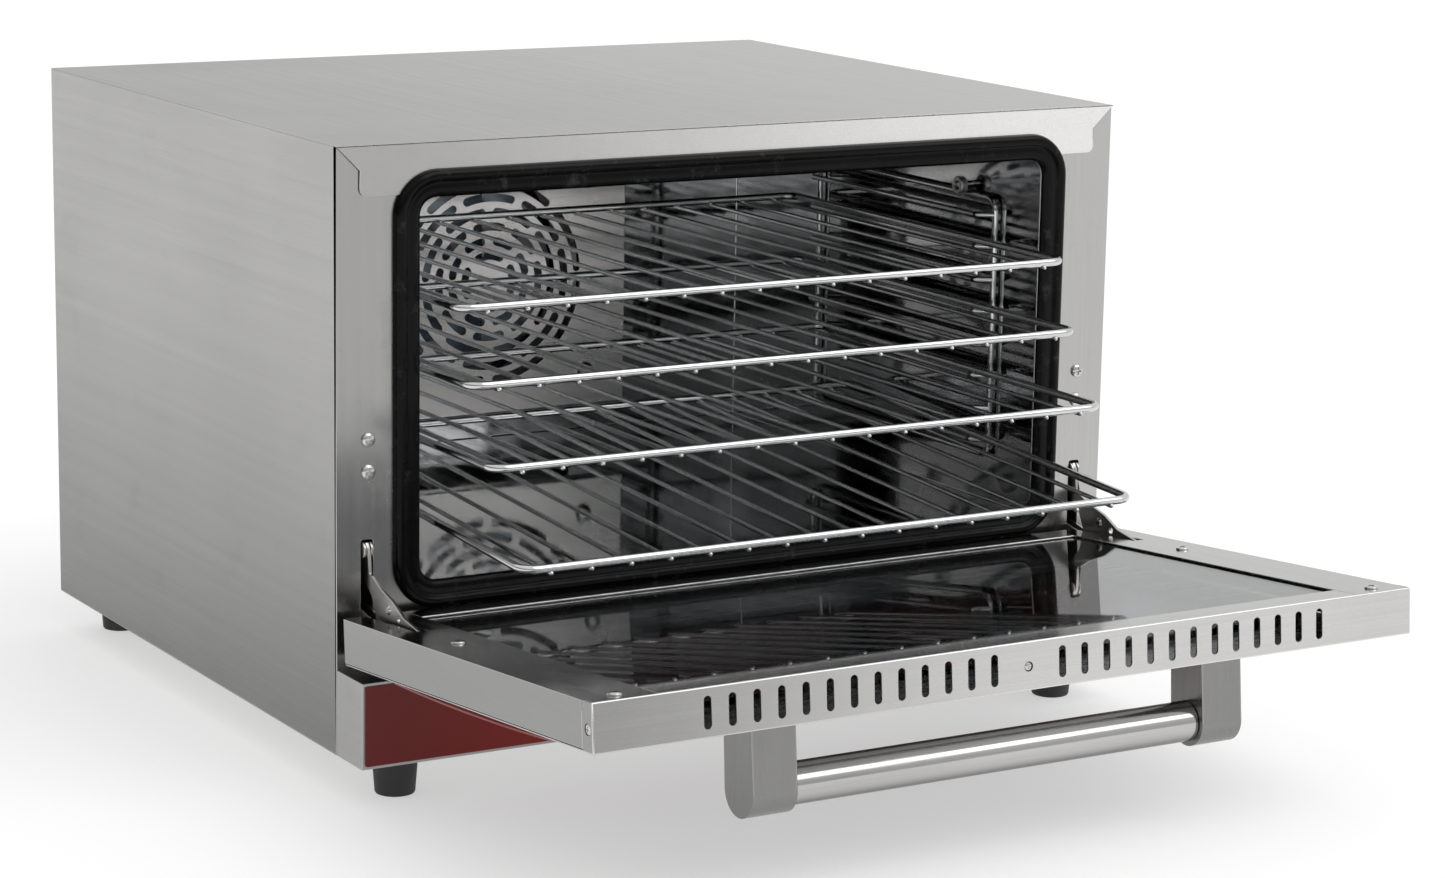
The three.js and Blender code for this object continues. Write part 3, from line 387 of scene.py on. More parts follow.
def refined(node, body, finish, edge, segments=2):
    # the CAD node's own shape with rounded edges
    settle(soften(copyOf(node), edge, segments=segments), node + "_finished", body, finish, (node,))


def block(x0, x1, y0, y1, z0, z1):
    # box between these places, in millimetres
    shape = bmesh.new()
    bmesh.ops.create_cube(shape, size=1)
    bmesh.ops.scale(shape, vec=((x1 - x0) * mm, (y1 - y0) * mm, (z1 - z0) * mm), verts=shape.verts)
    centre = Vector(((x0 + x1) / 2, (y0 + y1) / 2, (z0 + z1) / 2)) * mm
    bmesh.ops.translate(shape, vec=centre, verts=shape.verts)
    return shape


def stadium(width, length, depth, steps=24):
    # slot with round ends: width along X, length along Y, depth along Z, about the origin
    shape = bmesh.new()
    bmesh.ops.create_circle(shape, cap_ends=True, radius=width / 2 * mm, segments=steps)
    half = (length - width) / 2 * mm
    for vert in shape.verts:
        vert.co.y += half if vert.co.y > 0.1 * touching else -half
    thicken(shape, (0, 0, depth * mm))
    bmesh.ops.translate(shape, vec=(0, 0, -depth / 2 * mm), verts=shape.verts)
    return shape


def thicken(shape, reach):
    # pulls a flat shape out along reach, leaving it closed
    grown = bmesh.ops.extrude_face_region(shape, geom=list(shape.faces))
    moved = [item for item in grown["geom"] if isinstance(item, bmesh.types.BMVert)]
    bmesh.ops.translate(shape, vec=reach, verts=moved)
    bmesh.ops.recalc_face_normals(shape, faces=shape.faces)


def shifted(shape, place):
    bmesh.ops.transform(shape, matrix=place, verts=shape.verts)
    return shape


def together(shapes):
    # several bmeshes in one
    whole = bmesh.new()
    for shape in shapes:
        part = bpy.data.meshes.new("part")
        shape.to_mesh(part)
        shape.free()
        whole.from_mesh(part)
        bpy.data.meshes.remove(part)
    return whole


def carved(base, cutters):
    # base with the cutters taken away
    things = []
    for shape in (base, together(cutters)):
        bmesh.ops.recalc_face_normals(shape, faces=shape.faces)
        mesh = bpy.data.meshes.new("carving")
        shape.to_mesh(mesh)
        shape.free()
        thing = bpy.data.objects.new("carving", mesh)
        bpy.context.scene.collection.objects.link(thing)
        things.append(thing)
    cut = things[0].modifiers.new("cut", "BOOLEAN")
    cut.operation = "DIFFERENCE"
    cut.solver = "EXACT"
    cut.object = things[1]
    result = things[0].evaluated_get(bpy.context.evaluated_depsgraph_get())
    whole = bmesh.new()
    whole.from_mesh(result.to_mesh())
    for thing in things:
        mesh = thing.data
        bpy.data.objects.remove(thing)
        bpy.data.meshes.remove(mesh)
    return whole


def turned(profile, steps=40):
    # lathe about Z, from (radius, height) points in millimetres, closed at the axis where the radius is 0
    shape = bmesh.new()
    verts = [shape.verts.new((radius * mm, 0, height * mm)) for radius, height in profile]
    edges = [shape.edges.new(pair) for pair in zip(verts, verts[1:])]
    bmesh.ops.spin(
        shape, geom=verts + edges, cent=(0, 0, 0), axis=(0, 0, 1), dvec=(0, 0, 0),
        angle=2 * math.pi, steps=steps, use_merge=True, use_duplicate=False,
    )
    bmesh.ops.remove_doubles(shape, verts=shape.verts, dist=touching)
    bmesh.ops.recalc_face_normals(shape, faces=shape.faces)
    return shape


def drill(radius, reach, steps=24):
    # round cutter along Z, to reach above and below the origin
    return turned([(0, -reach), (radius, -reach), (radius, reach), (0, reach)], steps)


def bent(points, radius, closed=False, steps=7):
    # the points of a bent wire: each corner becomes an arc
    points = [Vector(point) for point in points]
    count = len(points)
    path = []
    for index, corner in enumerate(points):
        if not closed and index in (0, count - 1):
            path.append(corner)
            continue
        back = (points[index - 1] - corner).normalized()
        ahead = (points[(index + 1) % count] - corner).normalized()
        half = back.angle(ahead) / 2
        if half > math.radians(89):
            path.append(corner)
            continue
        centre = corner + (back + ahead).normalized() * radius / math.sin(half)
        first = (corner + back * radius / math.tan(half) - centre).normalized()
        last = (corner + ahead * radius / math.tan(half) - centre).normalized()
        for step in range(steps + 1):
            path.append(centre + first.slerp(last, step / steps) * radius)
    return path


def wires(paths, thickness, closed=False, sides=3):
    # round wire along each path, as one bmesh
    curve = bpy.data.curves.new("wire", "CURVE")
    curve.dimensions = "3D"
    curve.bevel_depth = thickness / 2
    curve.bevel_resolution = sides
    curve.use_fill_caps = True
    for path in paths:
        line = curve.splines.new("POLY")
        line.points.add(len(path) - 1)
        for point, spot in zip(line.points, path):
            point.co = (*spot, 1)
        line.use_cyclic_u = closed
    thing = bpy.data.objects.new("wire", curve)
    bpy.context.scene.collection.objects.link(thing)
    mesh = bpy.data.meshes.new_from_object(thing.evaluated_get(bpy.context.evaluated_depsgraph_get()))
    bpy.data.objects.remove(thing)
    shape = bmesh.new()
    shape.from_mesh(mesh)
    bpy.data.meshes.remove(mesh)
    bmesh.ops.remove_doubles(shape, verts=shape.verts, dist=touching)
    return shape


towardFront = Matrix.Rotation(math.radians(90), 4, "X")      # +Z of a turned piece to -Y
towardRight = Matrix.Rotation(math.radians(90), 4, "Y")      # +Z to +X
towardBack = Matrix.Rotation(math.radians(-90), 4, "X")
towardLeft = Matrix.Rotation(math.radians(-90), 4, "Y")


# The casing keeps the CAD's own shapes, with rounded edges
settle(
    soften(copyOf("casing_shell"), 0.9, segments=3), "casing_shell_finished", "cabinet",
    satinSide, ("casing_shell",),
)
refined("front_frame", "cabinet", brightFront, 0.3)
refined("base_pan", "cabinet", zincPlate, 0.4)
refined("back_cover", "cabinet", satinSide, 0.3)
refined("insulation_wrap", "cabinet", wool, 2.0)
refined("cavity_liner", "cabinet", mirrorCavity, 0.8)
print("casing made")


gasket = {
    "corner": 30,
    # steps from the outer edge inward: (width of the step, rise towards the door), in millimetres
    "profile": [
        (0.3, 2.2), (0.5, 1.6), (0.8, 1.2), (1.1, 0.8), (1.4, 0.35), (1.5, 0.0), (1.2, -0.5),
        (0.9, -1.0), (0.4, -0.9), (1.2, -0.15), (1.6, 0.35), (1.8, 0.25), (1.8, -0.1), (1.4, -0.35),
        (0.9, -0.8), (0.9, -1.0), (0.6, -1.3),
    ],
}


def roundedFace(width, height, corner, steps=10):
    # flat rectangle with round corners in XZ, facing -Y
    shape = bmesh.new()
    bmesh.ops.create_grid(shape, x_segments=1, y_segments=1, size=0.5)
    bmesh.ops.scale(shape, vec=(width * mm, height * mm, 1), verts=shape.verts)
    bmesh.ops.bevel(
        shape, geom=shape.verts[:], offset=corner * mm, offset_type="OFFSET", affect="VERTICES",
        segments=steps, profile=0.5, material=-1, clamp_overlap=False,
    )
    return shifted(shape, towardFront)


def makeGasket():
    low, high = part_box("door_gasket")
    size = (high - low) / mm
    shape = roundedFace(size.x, size.z, gasket["corner"])
    shape.normal_update()
    face = next(iter(shape.faces))
    if face.normal.y > 0:
        bmesh.ops.reverse_faces(shape, faces=[face])
    for width, rise in gasket["profile"]:
        bmesh.ops.inset_individual(
            shape, faces=[face], thickness=width * mm, depth=rise * mm, use_even_offset=True,
        )
    bmesh.ops.delete(shape, geom=[face], context="FACES")
    rims = [edge for edge in shape.edges if edge.is_boundary]
    bmesh.ops.bridge_loops(shape, edges=rims)
    centre = middle("door_gasket")
    return shifted(shape, Matrix.Translation((centre.x, high.y, centre.z)))


settle(
    makeGasket(), "door_gasket_finished", "cabinet", blackSeal, ("door_gasket",),
    sharp=70, even=False,
)
print("gasket made")


# Fan baffle and its slots
baffle = {
    "innerRing": 20, "ringPitch": 11, "rings": 6, "slot": 6.4, "sectors": 8, "bridge": 6.5,
    "cutDepth": 6, "sheet": 1.0, "fold": 2.2, "nutHole": 3.3, "nuts": 4,
}


def arcSlot(radius, sweep, turn):
    # round-ended slot bent round the fan's axis
    shape = stadium(baffle["slot"], radius * sweep, baffle["cutDepth"], 16)
    long = [edge for edge in shape.edges if abs(edge.verts[0].co.y - edge.verts[1].co.y) > 4 * mm]
    bmesh.ops.subdivide_edges(shape, edges=long, cuts=9, use_grid_fill=True)
    for vert in shape.verts:
        angle = turn + vert.co.y / (radius * mm)
        reach = radius * mm + vert.co.x
        vert.co = (reach * math.sin(angle), vert.co.z, reach * math.cos(angle))
    bmesh.ops.recalc_face_normals(shape, faces=shape.faces)
    return shape


def makeBaffle():
    low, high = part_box("fan_baffle")
    left, face, bottom = [place / mm for place in low]
    right, back, top = [place / mm for place in high]
    tray = block(left, right, face, back, bottom, top)
    soften(tray, baffle["fold"], segments=3, chosen=lambda e: all(v.co.y < low.y + touching for v in e.verts))
    wall = baffle["sheet"]
    hollow = block(left + wall, right - wall, face + wall, back + 2, bottom + wall, top - wall)
    cutters = []
    centre = Vector((0, low.y + wall / 2 * mm, middle("fan_wheel").z))
    for ring in range(baffle["rings"]):
        radius = baffle["innerRing"] + ring * baffle["ringPitch"]
        sectors = baffle["sectors"] // 2 if ring == 0 else baffle["sectors"]
        sweep = 2 * math.pi / sectors - baffle["bridge"] / radius
        for sector in range(sectors):
            turn = (sector + ring % 2 / 2) * 2 * math.pi / sectors
            cutters.append(shifted(arcSlot(radius, sweep, turn), Matrix.Translation(centre)))
    for number in range(1, baffle["nuts"] + 1):
        spot = middle(f"baffle_nut_{number}")
        place = Matrix.Translation((spot.x, low.y, spot.z)) @ towardFront
        cutters.append(shifted(drill(baffle["nutHole"], 4, 20), place))
    return soften(carved(carved(tray, [hollow]), cutters), 0.2, 50)


settle(makeBaffle(), "fan_baffle_finished", "cabinet", mirrorBaffle, ("fan_baffle",))

domedNut = [(3.4, 0), (7, 0), (7, 1.4), (6.6, 2.3), (5.4, 4.1), (3.6, 5.6), (1.6, 6.4), (0, 6.5)]
for number in range(1, baffle["nuts"] + 1):
    spot = middle(f"baffle_nut_{number}")
    spot.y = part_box(f"baffle_nut_{number}")[1].y
    settle(
        turned(domedNut, 32), f"baffle_nut_{number}_finished", "cabinet", chromeWire,
        (f"baffle_nut_{number}",), Matrix.Translation(spot) @ towardFront,
    )

refined("fan_wheel", "fan", fanSteel, 0.25)
refined("fan_shaft", "fan", zincPlate, 0.4)
refined("fan_motor", "cabinet", darkPaint, 1.5, segments=3)


element = {"wire": 7, "halfGap": 12, "steps": 60, "bend": 4}       # the gap between the two ends in degrees


def makeElement():
    low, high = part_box("heating_element")
    wire = element["wire"] * mm
    radius = (high.x - low.x - wire) / 2
    centreZ = high.z - wire / 2 - radius
    lead = math.radians(element["halfGap"])
    ring = []
    for step in range(element["steps"] + 1):
        angle = lead + step / element["steps"] * (2 * math.pi - 2 * lead)
        ring.append(Vector((radius * math.sin(angle), low.y + wire / 2, centreZ - radius * math.cos(angle))))
    ends = [Vector((spot.x, high.y, spot.z)) for spot in (ring[0], ring[-1])]
    bend = element["bend"] * mm
    path = bent([ends[0], ring[0], ring[1]], bend, steps=4)[:-1] + ring[1:-1]
    path += bent([ring[-2], ring[-1], ends[1]], bend, steps=4)[1:]
    return wires([path], wire, sides=4)


settle(
    makeElement(), "heating_element_finished", "cabinet", elementSkin,
    ("heating_element",), even=False,
)
print("baffle, fan and element made")


rack = {
    "count": 4, "wire": 5.5, "length": 354, "corner": 11, "tilts": [2.9, 0, 0, 0],
    "cross": 3.2, "pitch": 28.4, "past": 1.6, "weld": 0.6,      # cross wires, welded under the frame wire
}


def makeRack(number):
    node = f"rack_{number}"
    low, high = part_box(node)
    tilt = math.radians(rack["tilts"][number - 1])
    half = (high.x - low.x) / 2 / mm - rack["wire"] / 2
    length = rack["length"]
    outline = [(-half, 0, 0), (half, 0, 0), (half, length, 0), (-half, length, 0)]
    loop = bent([Vector(point) * mm for point in outline], rack["corner"] * mm, True, 8)
    frameWire = wires([loop], rack["wire"] * mm, True, 5)
    below = -(rack["wire"] * math.cos(math.pi / 6) + rack["cross"] * math.cos(math.pi / 4)) / 2 + rack["weld"]
    count = 2 * math.floor(half / rack["pitch"])
    lines, beads = [], []
    for index in range(count):
        x = (index - (count - 1) / 2) * rack["pitch"]
        ends = [Vector((x, -rack["past"], below)) * mm, Vector((x, length + rack["past"], below)) * mm]
        lines.append(ends)
        for end in ends:
            bead = bmesh.new()
            bmesh.ops.create_icosphere(bead, subdivisions=2, radius=rack["cross"] / 2 * mm)
            beads.append(shifted(bead, Matrix.Translation(end)))
    whole = together([frameWire, wires(lines, rack["cross"] * mm, sides=3)] + beads)
    radius = rack["wire"] / 2 * mm
    nose = Vector((0, low.y + radius, high.z - radius - length * mm * math.sin(tilt)))
    return shifted(whole, Matrix.Translation(nose) @ Matrix.Rotation(tilt, 4, "X"))


for number in range(1, rack["count"] + 1):
    settle(
        makeRack(number), f"rack_{number}_finished", f"rack_{number}", chromeWire,
        (f"rack_{number}",), even=False, sharp=60,
    )

rail = {
    "wire": 4.4, "corner": 9, "bend": 4, "lead": 8,
    "lowest": 17, "pitch": (292 - 152.2) / 3, "holdUp": 17.3, "gap": 0.3,       # heights of the rack levels
}


def makeSupport(word, side):
    low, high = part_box(f"rack_support_{word}")
    radius = rail["wire"] / 2 * mm
    posts = (high.x - radius) if side > 0 else (low.x + radius)
    inner = (low.x + radius) if side > 0 else (high.x - radius)
    front, rear, bottom, top = low.y + radius, high.y - radius, low.z + radius, high.z - radius
    loop = [(posts, front, bottom), (posts, front, top), (posts, rear, top), (posts, rear, bottom)]
    pieces = [wires([bent(loop, rail["corner"] * mm, True)], rail["wire"] * mm, True, 4)]
    lead = rail["lead"] * mm
    paths = []
    for index in range(rack["count"]):
        level = bottom + rail["lowest"] * mm + index * rail["pitch"] * mm
        carry = level - (rack["wire"] / 2 + rail["gap"]) * mm - radius
        for z in (carry, level + rail["holdUp"] * mm):
            bends = [(posts, front, z), (inner, front + lead, z), (inner, rear - lead, z), (posts, rear, z)]
            paths.append(bent(bends, rail["bend"] * mm, steps=4))
    pieces.append(wires(paths, rail["wire"] * mm, sides=4))
    return together(pieces)


def thumbNut():
    # knurled: each face of the rim is sunk a little
    shape = turned([(3.3, 0), (5.9, 0), (6.5, 0.6), (6.5, 5.0), (5.9, 5.6), (3.3, 5.6), (3.3, 0)], 28)
    knurls = [f for f in shape.faces if abs(f.normal.z) < 0.1 and f.calc_center_median().xy.length > 6 * mm]
    bmesh.ops.inset_individual(shape, faces=knurls, thickness=0.2 * mm, depth=-0.35 * mm)
    return shape


for word, side in (("left", -1), ("right", 1)):
    settle(
        makeSupport(word, side), f"rack_support_{word}_finished", "cabinet", chromeWire,
        (f"rack_support_{word}",), even=False, sharp=60,
    )
    spot = middle(f"support_nut_{word}")
    spot.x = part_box(f"support_nut_{word}")[0].x
    settle(
        thumbNut(), f"support_nut_{word}_finished", "cabinet", zincPlate,
        (f"support_nut_{word}",), Matrix.Translation(spot) @ towardRight,
    )
print("racks and rails made")


# Places on the open arm as (forward, up) from the hinge pin
arm = {"hole": 2.4, "holeAt": (-22, 23), "rivet": 3.4, "rise": 1.1, "rivetAt": (-8, 26), "edge": 0.4}


def onArm(word, place):
    forward, up = place
    spot = Vector((middle(f"hinge_arm_{word}").x, hingePin.y + forward * mm, hingePin.z + up * mm))
    return Matrix.Translation(spot) @ towardRight


def makeArm(word):
    hole = shifted(drill(arm["hole"], 10), onArm(word, arm["holeAt"]))
    return soften(carved(copyOf(f"hinge_arm_{word}"), [hole]), arm["edge"])


def makeRivet(word):
    low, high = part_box(f"hinge_arm_{word}")
    radius, half = arm["rivet"], (high.x - low.x) / mm / 2
    top, flat = half + arm["rise"], radius * 0.6
    return turned([(0, -top), (flat, -top), (radius, -half), (radius, half), (flat, top), (0, top)], 24)


coil = {"turns": 17, "wire": 1.8, "stepsEachTurn": 14}


def makeSpring(word):
    low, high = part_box(f"hinge_spring_{word}")
    wire = coil["wire"] * mm
    reach = (high.x - low.x) / 2 - wire / 2
    centre = (low + high) / 2
    steps = coil["turns"] * coil["stepsEachTurn"]
    helix = []
    for step in range(steps + 1):
        angle = step / coil["stepsEachTurn"] * 2 * math.pi
        height = low.z + wire / 2 + step / steps * (high.z - low.z - wire)
        helix.append(Vector((centre.x + reach * math.cos(angle), centre.y + reach * math.sin(angle), height)))
    return wires([helix], wire, sides=2)


for word in ("left", "right"):
    refined(f"hinge_housing_{word}", "cabinet", zincPlate, 0.3)
    settle(
        makeArm(word), f"hinge_arm_{word}_finished", "door", zincPlate,
        (f"hinge_arm_{word}",),
    )
    settle(
        makeRivet(word), f"hinge_rivet_{word}", "door", screwSteel, (),
        onArm(word, arm["rivetAt"]), sharp=30,
    )
    refined(f"hinge_pin_{word}", "cabinet", zincPlate, 0.3, segments=3)
    refined(f"hinge_roller_{word}", "door", zincPlate, 0.5, segments=3)
    settle(
        makeSpring(word), f"hinge_spring_{word}_finished", "cabinet", zincPlate,
        (f"hinge_spring_{word}",), even=False, sharp=60,
    )
print("hinges made")


# Places in the door's own frame: the hinge pin is the origin, Z runs up the shut door, -Y is outward
door = {
    "inner": 18.1, "outer": -11.9, "low": -14.8, "top": 312.9, "sheet": 1.2, "wrap": 12, "gap": 0.3,
    "window": (451, 197.7, 12), "windowMiddle": 140.05,
    "vent": (5.2, 19.6), "ventFirst": 24.8, "ventPitch": 16.5, "vents": 13,
    "tabScrew": (1.9, 307), "tabHole": 3.5, "endScrew": 2.8, "endHole": 3.1,
}


def makeOuterPanel():
    # folded sheet: the carving is done first, then only its three outer folds are rounded
    half, wall = halfWidth, door["sheet"]
    behind = door["outer"] + wall
    cutters = [
        block(-half - 1, half + 1, behind, door["inner"] + 1, door["low"] - 1, door["top"] - door["wrap"]),
        block(-half + wall, half - wall, behind, door["inner"] + 1, door["low"] - 1, door["top"] - wall),
    ]
    width, height, corner = door["window"]
    window = roundedFace(width, height, corner, 8)
    thicken(window, (0, 8 * mm, 0))
    spot = (0, (door["outer"] - 4) * mm, door["windowMiddle"] * mm)
    cutters.append(shifted(window, Matrix.Translation(spot)))
    depth = (door["inner"] + door["outer"]) / 2
    for side in (-1, 1):
        spot = Vector((side * half, *door["tabScrew"])) * mm
        cutters.append(shifted(drill(door["tabHole"], 3), Matrix.Translation(spot) @ towardRight))
    spot = (0, door["endScrew"] * mm, door["top"] * mm)
    cutters.append(shifted(drill(door["endHole"], 3), Matrix.Translation(spot)))
    shape = block(-half, half, door["outer"], door["inner"], door["low"] + 1.5, door["top"])
    for cutter in cutters:
        shape = carved(shape, [cutter])
    vents = []
    for index in range(door["vents"]):
        for side in (-1, 1):
            x = side * (door["ventFirst"] + index * door["ventPitch"])
            vent = stadium(*door["vent"], 5, 20)
            vents.append(shifted(vent, Matrix.Translation((x * mm, depth * mm, door["top"] * mm))))
    shape = carved(shape, vents)

    def onFold(spot):
        near = 0.01 * mm
        outside = abs(abs(spot.x) - half * mm) < near
        under = abs(spot.y - door["outer"] * mm) < near
        end = abs(spot.z - door["top"] * mm) < near
        return outside + under + end >= 2

    return soften(shape, 0.9, segments=3, chosen=lambda e: all(onFold(v.co) for v in e.verts))


settle(
    makeOuterPanel(), "door_outer_panel_finished", "door", satinDoor,
    ("door_outer_panel",), doorPlace,
)

# How a side channel is notched for its hinge: half widths about hingeX, and heights
channel = {
    "glassX": 254.3, "hingeX": 276.2, "shorter": 1.5, "edge": 0.45,
    "earHalf": 5.7, "earTop": 21.2, "armHalf": 4.3, "armDepth": 3, "armLow": 15.2, "armTop": 54.2,
}


def makeDoorSide(side):
    glassX, half, wall = channel["glassX"], halfWidth, door["sheet"]
    back, face, low = door["outer"] + wall + door["gap"], door["inner"], door["low"]
    top = door["top"] - channel["shorter"]
    wallEnd = door["top"] - door["wrap"] - door["gap"]
    hingeX, ear, slot = channel["hingeX"], channel["earHalf"], channel["armHalf"]
    armLow, armTop = channel["armLow"], channel["armTop"]
    cutters = [
        block(glassX - 1, half - wall, back - 1, face - wall, low + wall, top + 1),             # inside
        block(half - channel["shorter"], half + 1, back - 1, face + 1, wallEnd, top + 1),       # wrap tab
        block(hingeX - ear, hingeX + ear, back - 1, face + 1, low - 1, channel["earTop"]),      # ears
        block(hingeX - slot, hingeX + slot, face - channel["armDepth"], face + 1, armLow, armTop),
    ]
    shape = block(glassX, half, back, face, low, top)
    for cutter in cutters:
        shape = carved(shape, [cutter])
    soften(shape, channel["edge"], chosen=lambda e: e.calc_length() > 2.5 * mm)
    bmesh.ops.scale(shape, vec=(side, 1, 1), verts=shape.verts)
    return shape


for word, side in (("left", -1), ("right", 1)):
    settle(
        makeDoorSide(side), f"door_side_{word}_finished", "door", darkDoorSide,
        (f"door_side_{word}",), doorPlace,
    )
refined("door_top_strip", "door", darkDoor, 0.4)
refined("door_bottom_strip", "door", darkDoor, 0.4)
refined("door_inner_glass", "door", innerGlass, 0.4)
refined("door_outer_glass", "door", outerGlass, 0.4)
print("door made")

handle = {
    "radius": 12.9, "half": 148.7, "y": -56.2, "z": 272.4,
    "bracket": 30.8, "nose": 16.2, "inner": 149.0,
}
xToY = Matrix(((0, 0, 1, 0), (1, 0, 0, 0), (0, 1, 0, 0), (0, 0, 0, 1)))       # X to Y, Y to Z, Z to X


def makeBracket(side):
    # bar with a round nose, from a disc whose door half is drawn out straight
    shape = bmesh.new()
    bmesh.ops.create_circle(shape, cap_ends=True, radius=handle["nose"] * mm, segments=64)
    reach = (door["outer"] - door["gap"] - handle["y"]) * mm
    for vert in shape.verts:
        if vert.co.x > touching:
            vert.co.x = reach
    bmesh.ops.remove_doubles(shape, verts=shape.verts, dist=touching)
    bmesh.ops.dissolve_limit(shape, angle_limit=math.radians(0.5), verts=shape.verts, edges=shape.edges)
    thicken(shape, (0, 0, handle["bracket"] * mm))
    start = handle["inner"] if side > 0 else -handle["inner"] - handle["bracket"]
    shifted(shape, Matrix.Translation((start * mm, handle["y"] * mm, handle["z"] * mm)) @ xToY)
    return soften(shape, 1.0, 40, 3)


for word, side in (("left", -1), ("right", 1)):
    settle(
        makeBracket(side), f"handle_bracket_{word}_finished", "door", satinBracket,
        (f"handle_bracket_{word}",), doorPlace,
    )
half, radius = handle["half"], handle["radius"]
tube = [
    (radius - 1.5, -half), (radius - 0.4, -half), (radius, -half + 0.5), (radius, half - 0.5),
    (radius - 0.4, half), (radius - 1.5, half), (radius - 1.5, -half),
]
settle(
    turned(tube, 64), "handle_bar_finished", "door", satinHandle, ("handle_bar",),
    doorPlace @ Matrix.Translation((0, handle["y"] * mm, handle["z"] * mm)) @ towardRight,
)
print("handle made")


# Control box, with its overlay and what is behind it
refined("control_box", "cabinet", satinBox, 0.5)
refined("control_overlay", "cabinet", redFilm, 0.15)
refined("thermostat_body", "cabinet", darkPaint, 1.0)
refined("timer_body", "cabinet", darkPaint, 1.0)

# Knob and lamp sections as (radius, height); blocks as x, y and z limits, standing on the panel
knob = {
    "section": [
        (0, 0), (17.4, 0), (18, 0.6), (18, 3.8), (17.4, 4.7), (16.6, 5), (14.2, 5), (13.4, 5.6),
        (12.2, 19.8), (11.6, 21.2), (10.4, 21.9), (9, 22), (0, 22),
    ],
    "rib": (-3.1, 3.1, -13.9, 16.4, 4, 22.9), "pointer": (-0.7, 0.7, 3, 15.4, 22.85, 23.0),
    "sweeps": {"thermostat": 270, "timer": 300},
}
marks = {"count": 11, "inner": 20.2, "long": 3.4, "short": 2.0, "half": 0.4, "rise": 0.12}
lens = [(0, 3.2), (1.8, 3.1), (3.4, 2.7), (4.7, 1.8), (5.4, 0.6), (5.4, -12), (0, -12)]
bezel = [(5.5, 0.0), (5.5, 1.0), (6.2, 1.3), (7.6, 0.7), (7.9, 0.1), (7.9, 0.0), (5.5, 0.0)]


def makeKnob():
    return together([turned(knob["section"], 56), soften(block(*knob["rib"]), 0.8, segments=3)])


def dialMarks(sweep):
    # short and long marks by turns, round the knob
    shapes = []
    half, inner, last = marks["half"], marks["inner"], marks["count"] - 1
    for index in range(marks["count"]):
        turn = -sweep / 2 + index / last * sweep
        long = marks["long"] if index % 2 == 0 else marks["short"]
        mark = soften(block(-half, half, inner, inner + long, 0, marks["rise"]), 0.03)
        shapes.append(shifted(mark, Matrix.Rotation(math.radians(-turn), 4, "Z")))
    return together(shapes)


def onPanel(node, gap=0.3):
    # the node's place on the overlay, with +Z outward
    spot = middle(node)
    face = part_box("control_overlay")[0].y
    return Matrix.Translation((spot.x, face - gap * mm, spot.z)) @ towardFront


for name, sweep in knob["sweeps"].items():
    front = onPanel(f"{name}_body")
    settle(
        makeKnob(), f"{name}_knob_finished", f"{name}_knob", blackKnob,
        (f"{name}_knob",), front,
    )
    pointer = soften(block(*knob["pointer"]), 0.05)
    settle(pointer, f"{name}_pointer", f"{name}_knob", whitePrint, (), front)
    flat = onPanel(f"{name}_body", 0)
    settle(dialMarks(sweep), f"{name}_marks", "cabinet", whitePrint, (), flat)
for name in ("heat_lamp", "power_lamp"):
    front = onPanel(name)
    settle(turned(lens, 36), name + "_finished", "cabinet", amberLens, (name,), front)
    settle(turned(bezel, 36), name + "_bezel", "cabinet", chromeWire, (), front)
print("controls made")


# Section of a foot as (radius, depth below the casing)
footSection = [(0, 28), (11.4, 28), (12.6, 27.6), (13.2, 26.6), (15, 3.6), (15, 0.3), (0, 0.3)]
for name in ("foot_front_left", "foot_front_right", "foot_rear_left", "foot_rear_right"):
    spot = middle(name)
    spot.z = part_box(name)[0].z + footSection[0][1] * mm
    under = Matrix.Translation(spot) @ Matrix.Rotation(math.pi, 4, "X")
    settle(
        turned(footSection, 44), name + "_finished", "cabinet", blackRubber, (name,), under,
        sharp=50,
    )

glandSection = [
    (2.5, 0), (7, 0), (7, 4.2), (9, 4.2), (9, 8.4), (8.5, 9), (8.5, 9.8), (8.8, 10.2), (8.4, 15.6),
    (6.6, 18.2), (4, 18.2), (3.4, 17.4), (2.5, 0),
]
spot = middle("cable_gland")
spot.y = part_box("cable_gland")[0].y
settle(
    turned(glandSection, 36), "cable_gland_finished", "cabinet", blackKnob,
    ("cable_gland",), Matrix.Translation(spot) @ towardBack,
)


def panHead(radius, rise):
    # round-topped screw head with a cross recess, standing on z = 0
    dome = turned([
        (0, 0), (radius, 0), (radius, rise * 0.3), (radius * 0.93, rise * 0.62), (radius * 0.72, rise * 0.88),
        (radius * 0.4, rise), (0, rise * 1.04),
    ], 28)
    reach, width, top = radius * 0.56, radius * 0.15, rise * 2
    cross = [
        block(-reach, reach, -width, width, rise * 0.35, top),
        block(-width, width, -reach, reach, rise * 0.3, top + 0.2),
    ]
    return carved(carved(dome, cross[:1]), cross[1:])


def addScrew(name, body, place, radius, rise):
    settle(panHead(radius, rise), f"screw_{name}", body, screwSteel, (), place, sharp=30)


frontScrews = {"x": 275.5, "sunk": 0.02, "upper": (204.6, 4.6, 2.4), "lower": (183.9, 4.9, 2.6)}
for word, side in (("left", -1), ("right", 1)):
    for level in ("upper", "lower"):
        height, radius, rise = frontScrews[level]
        spot = at(side * frontScrews["x"], -frontScrews["sunk"], height)
        addScrew(f"front_{word}_{level}", "cabinet", Matrix.Translation(spot) @ towardFront, radius, rise)

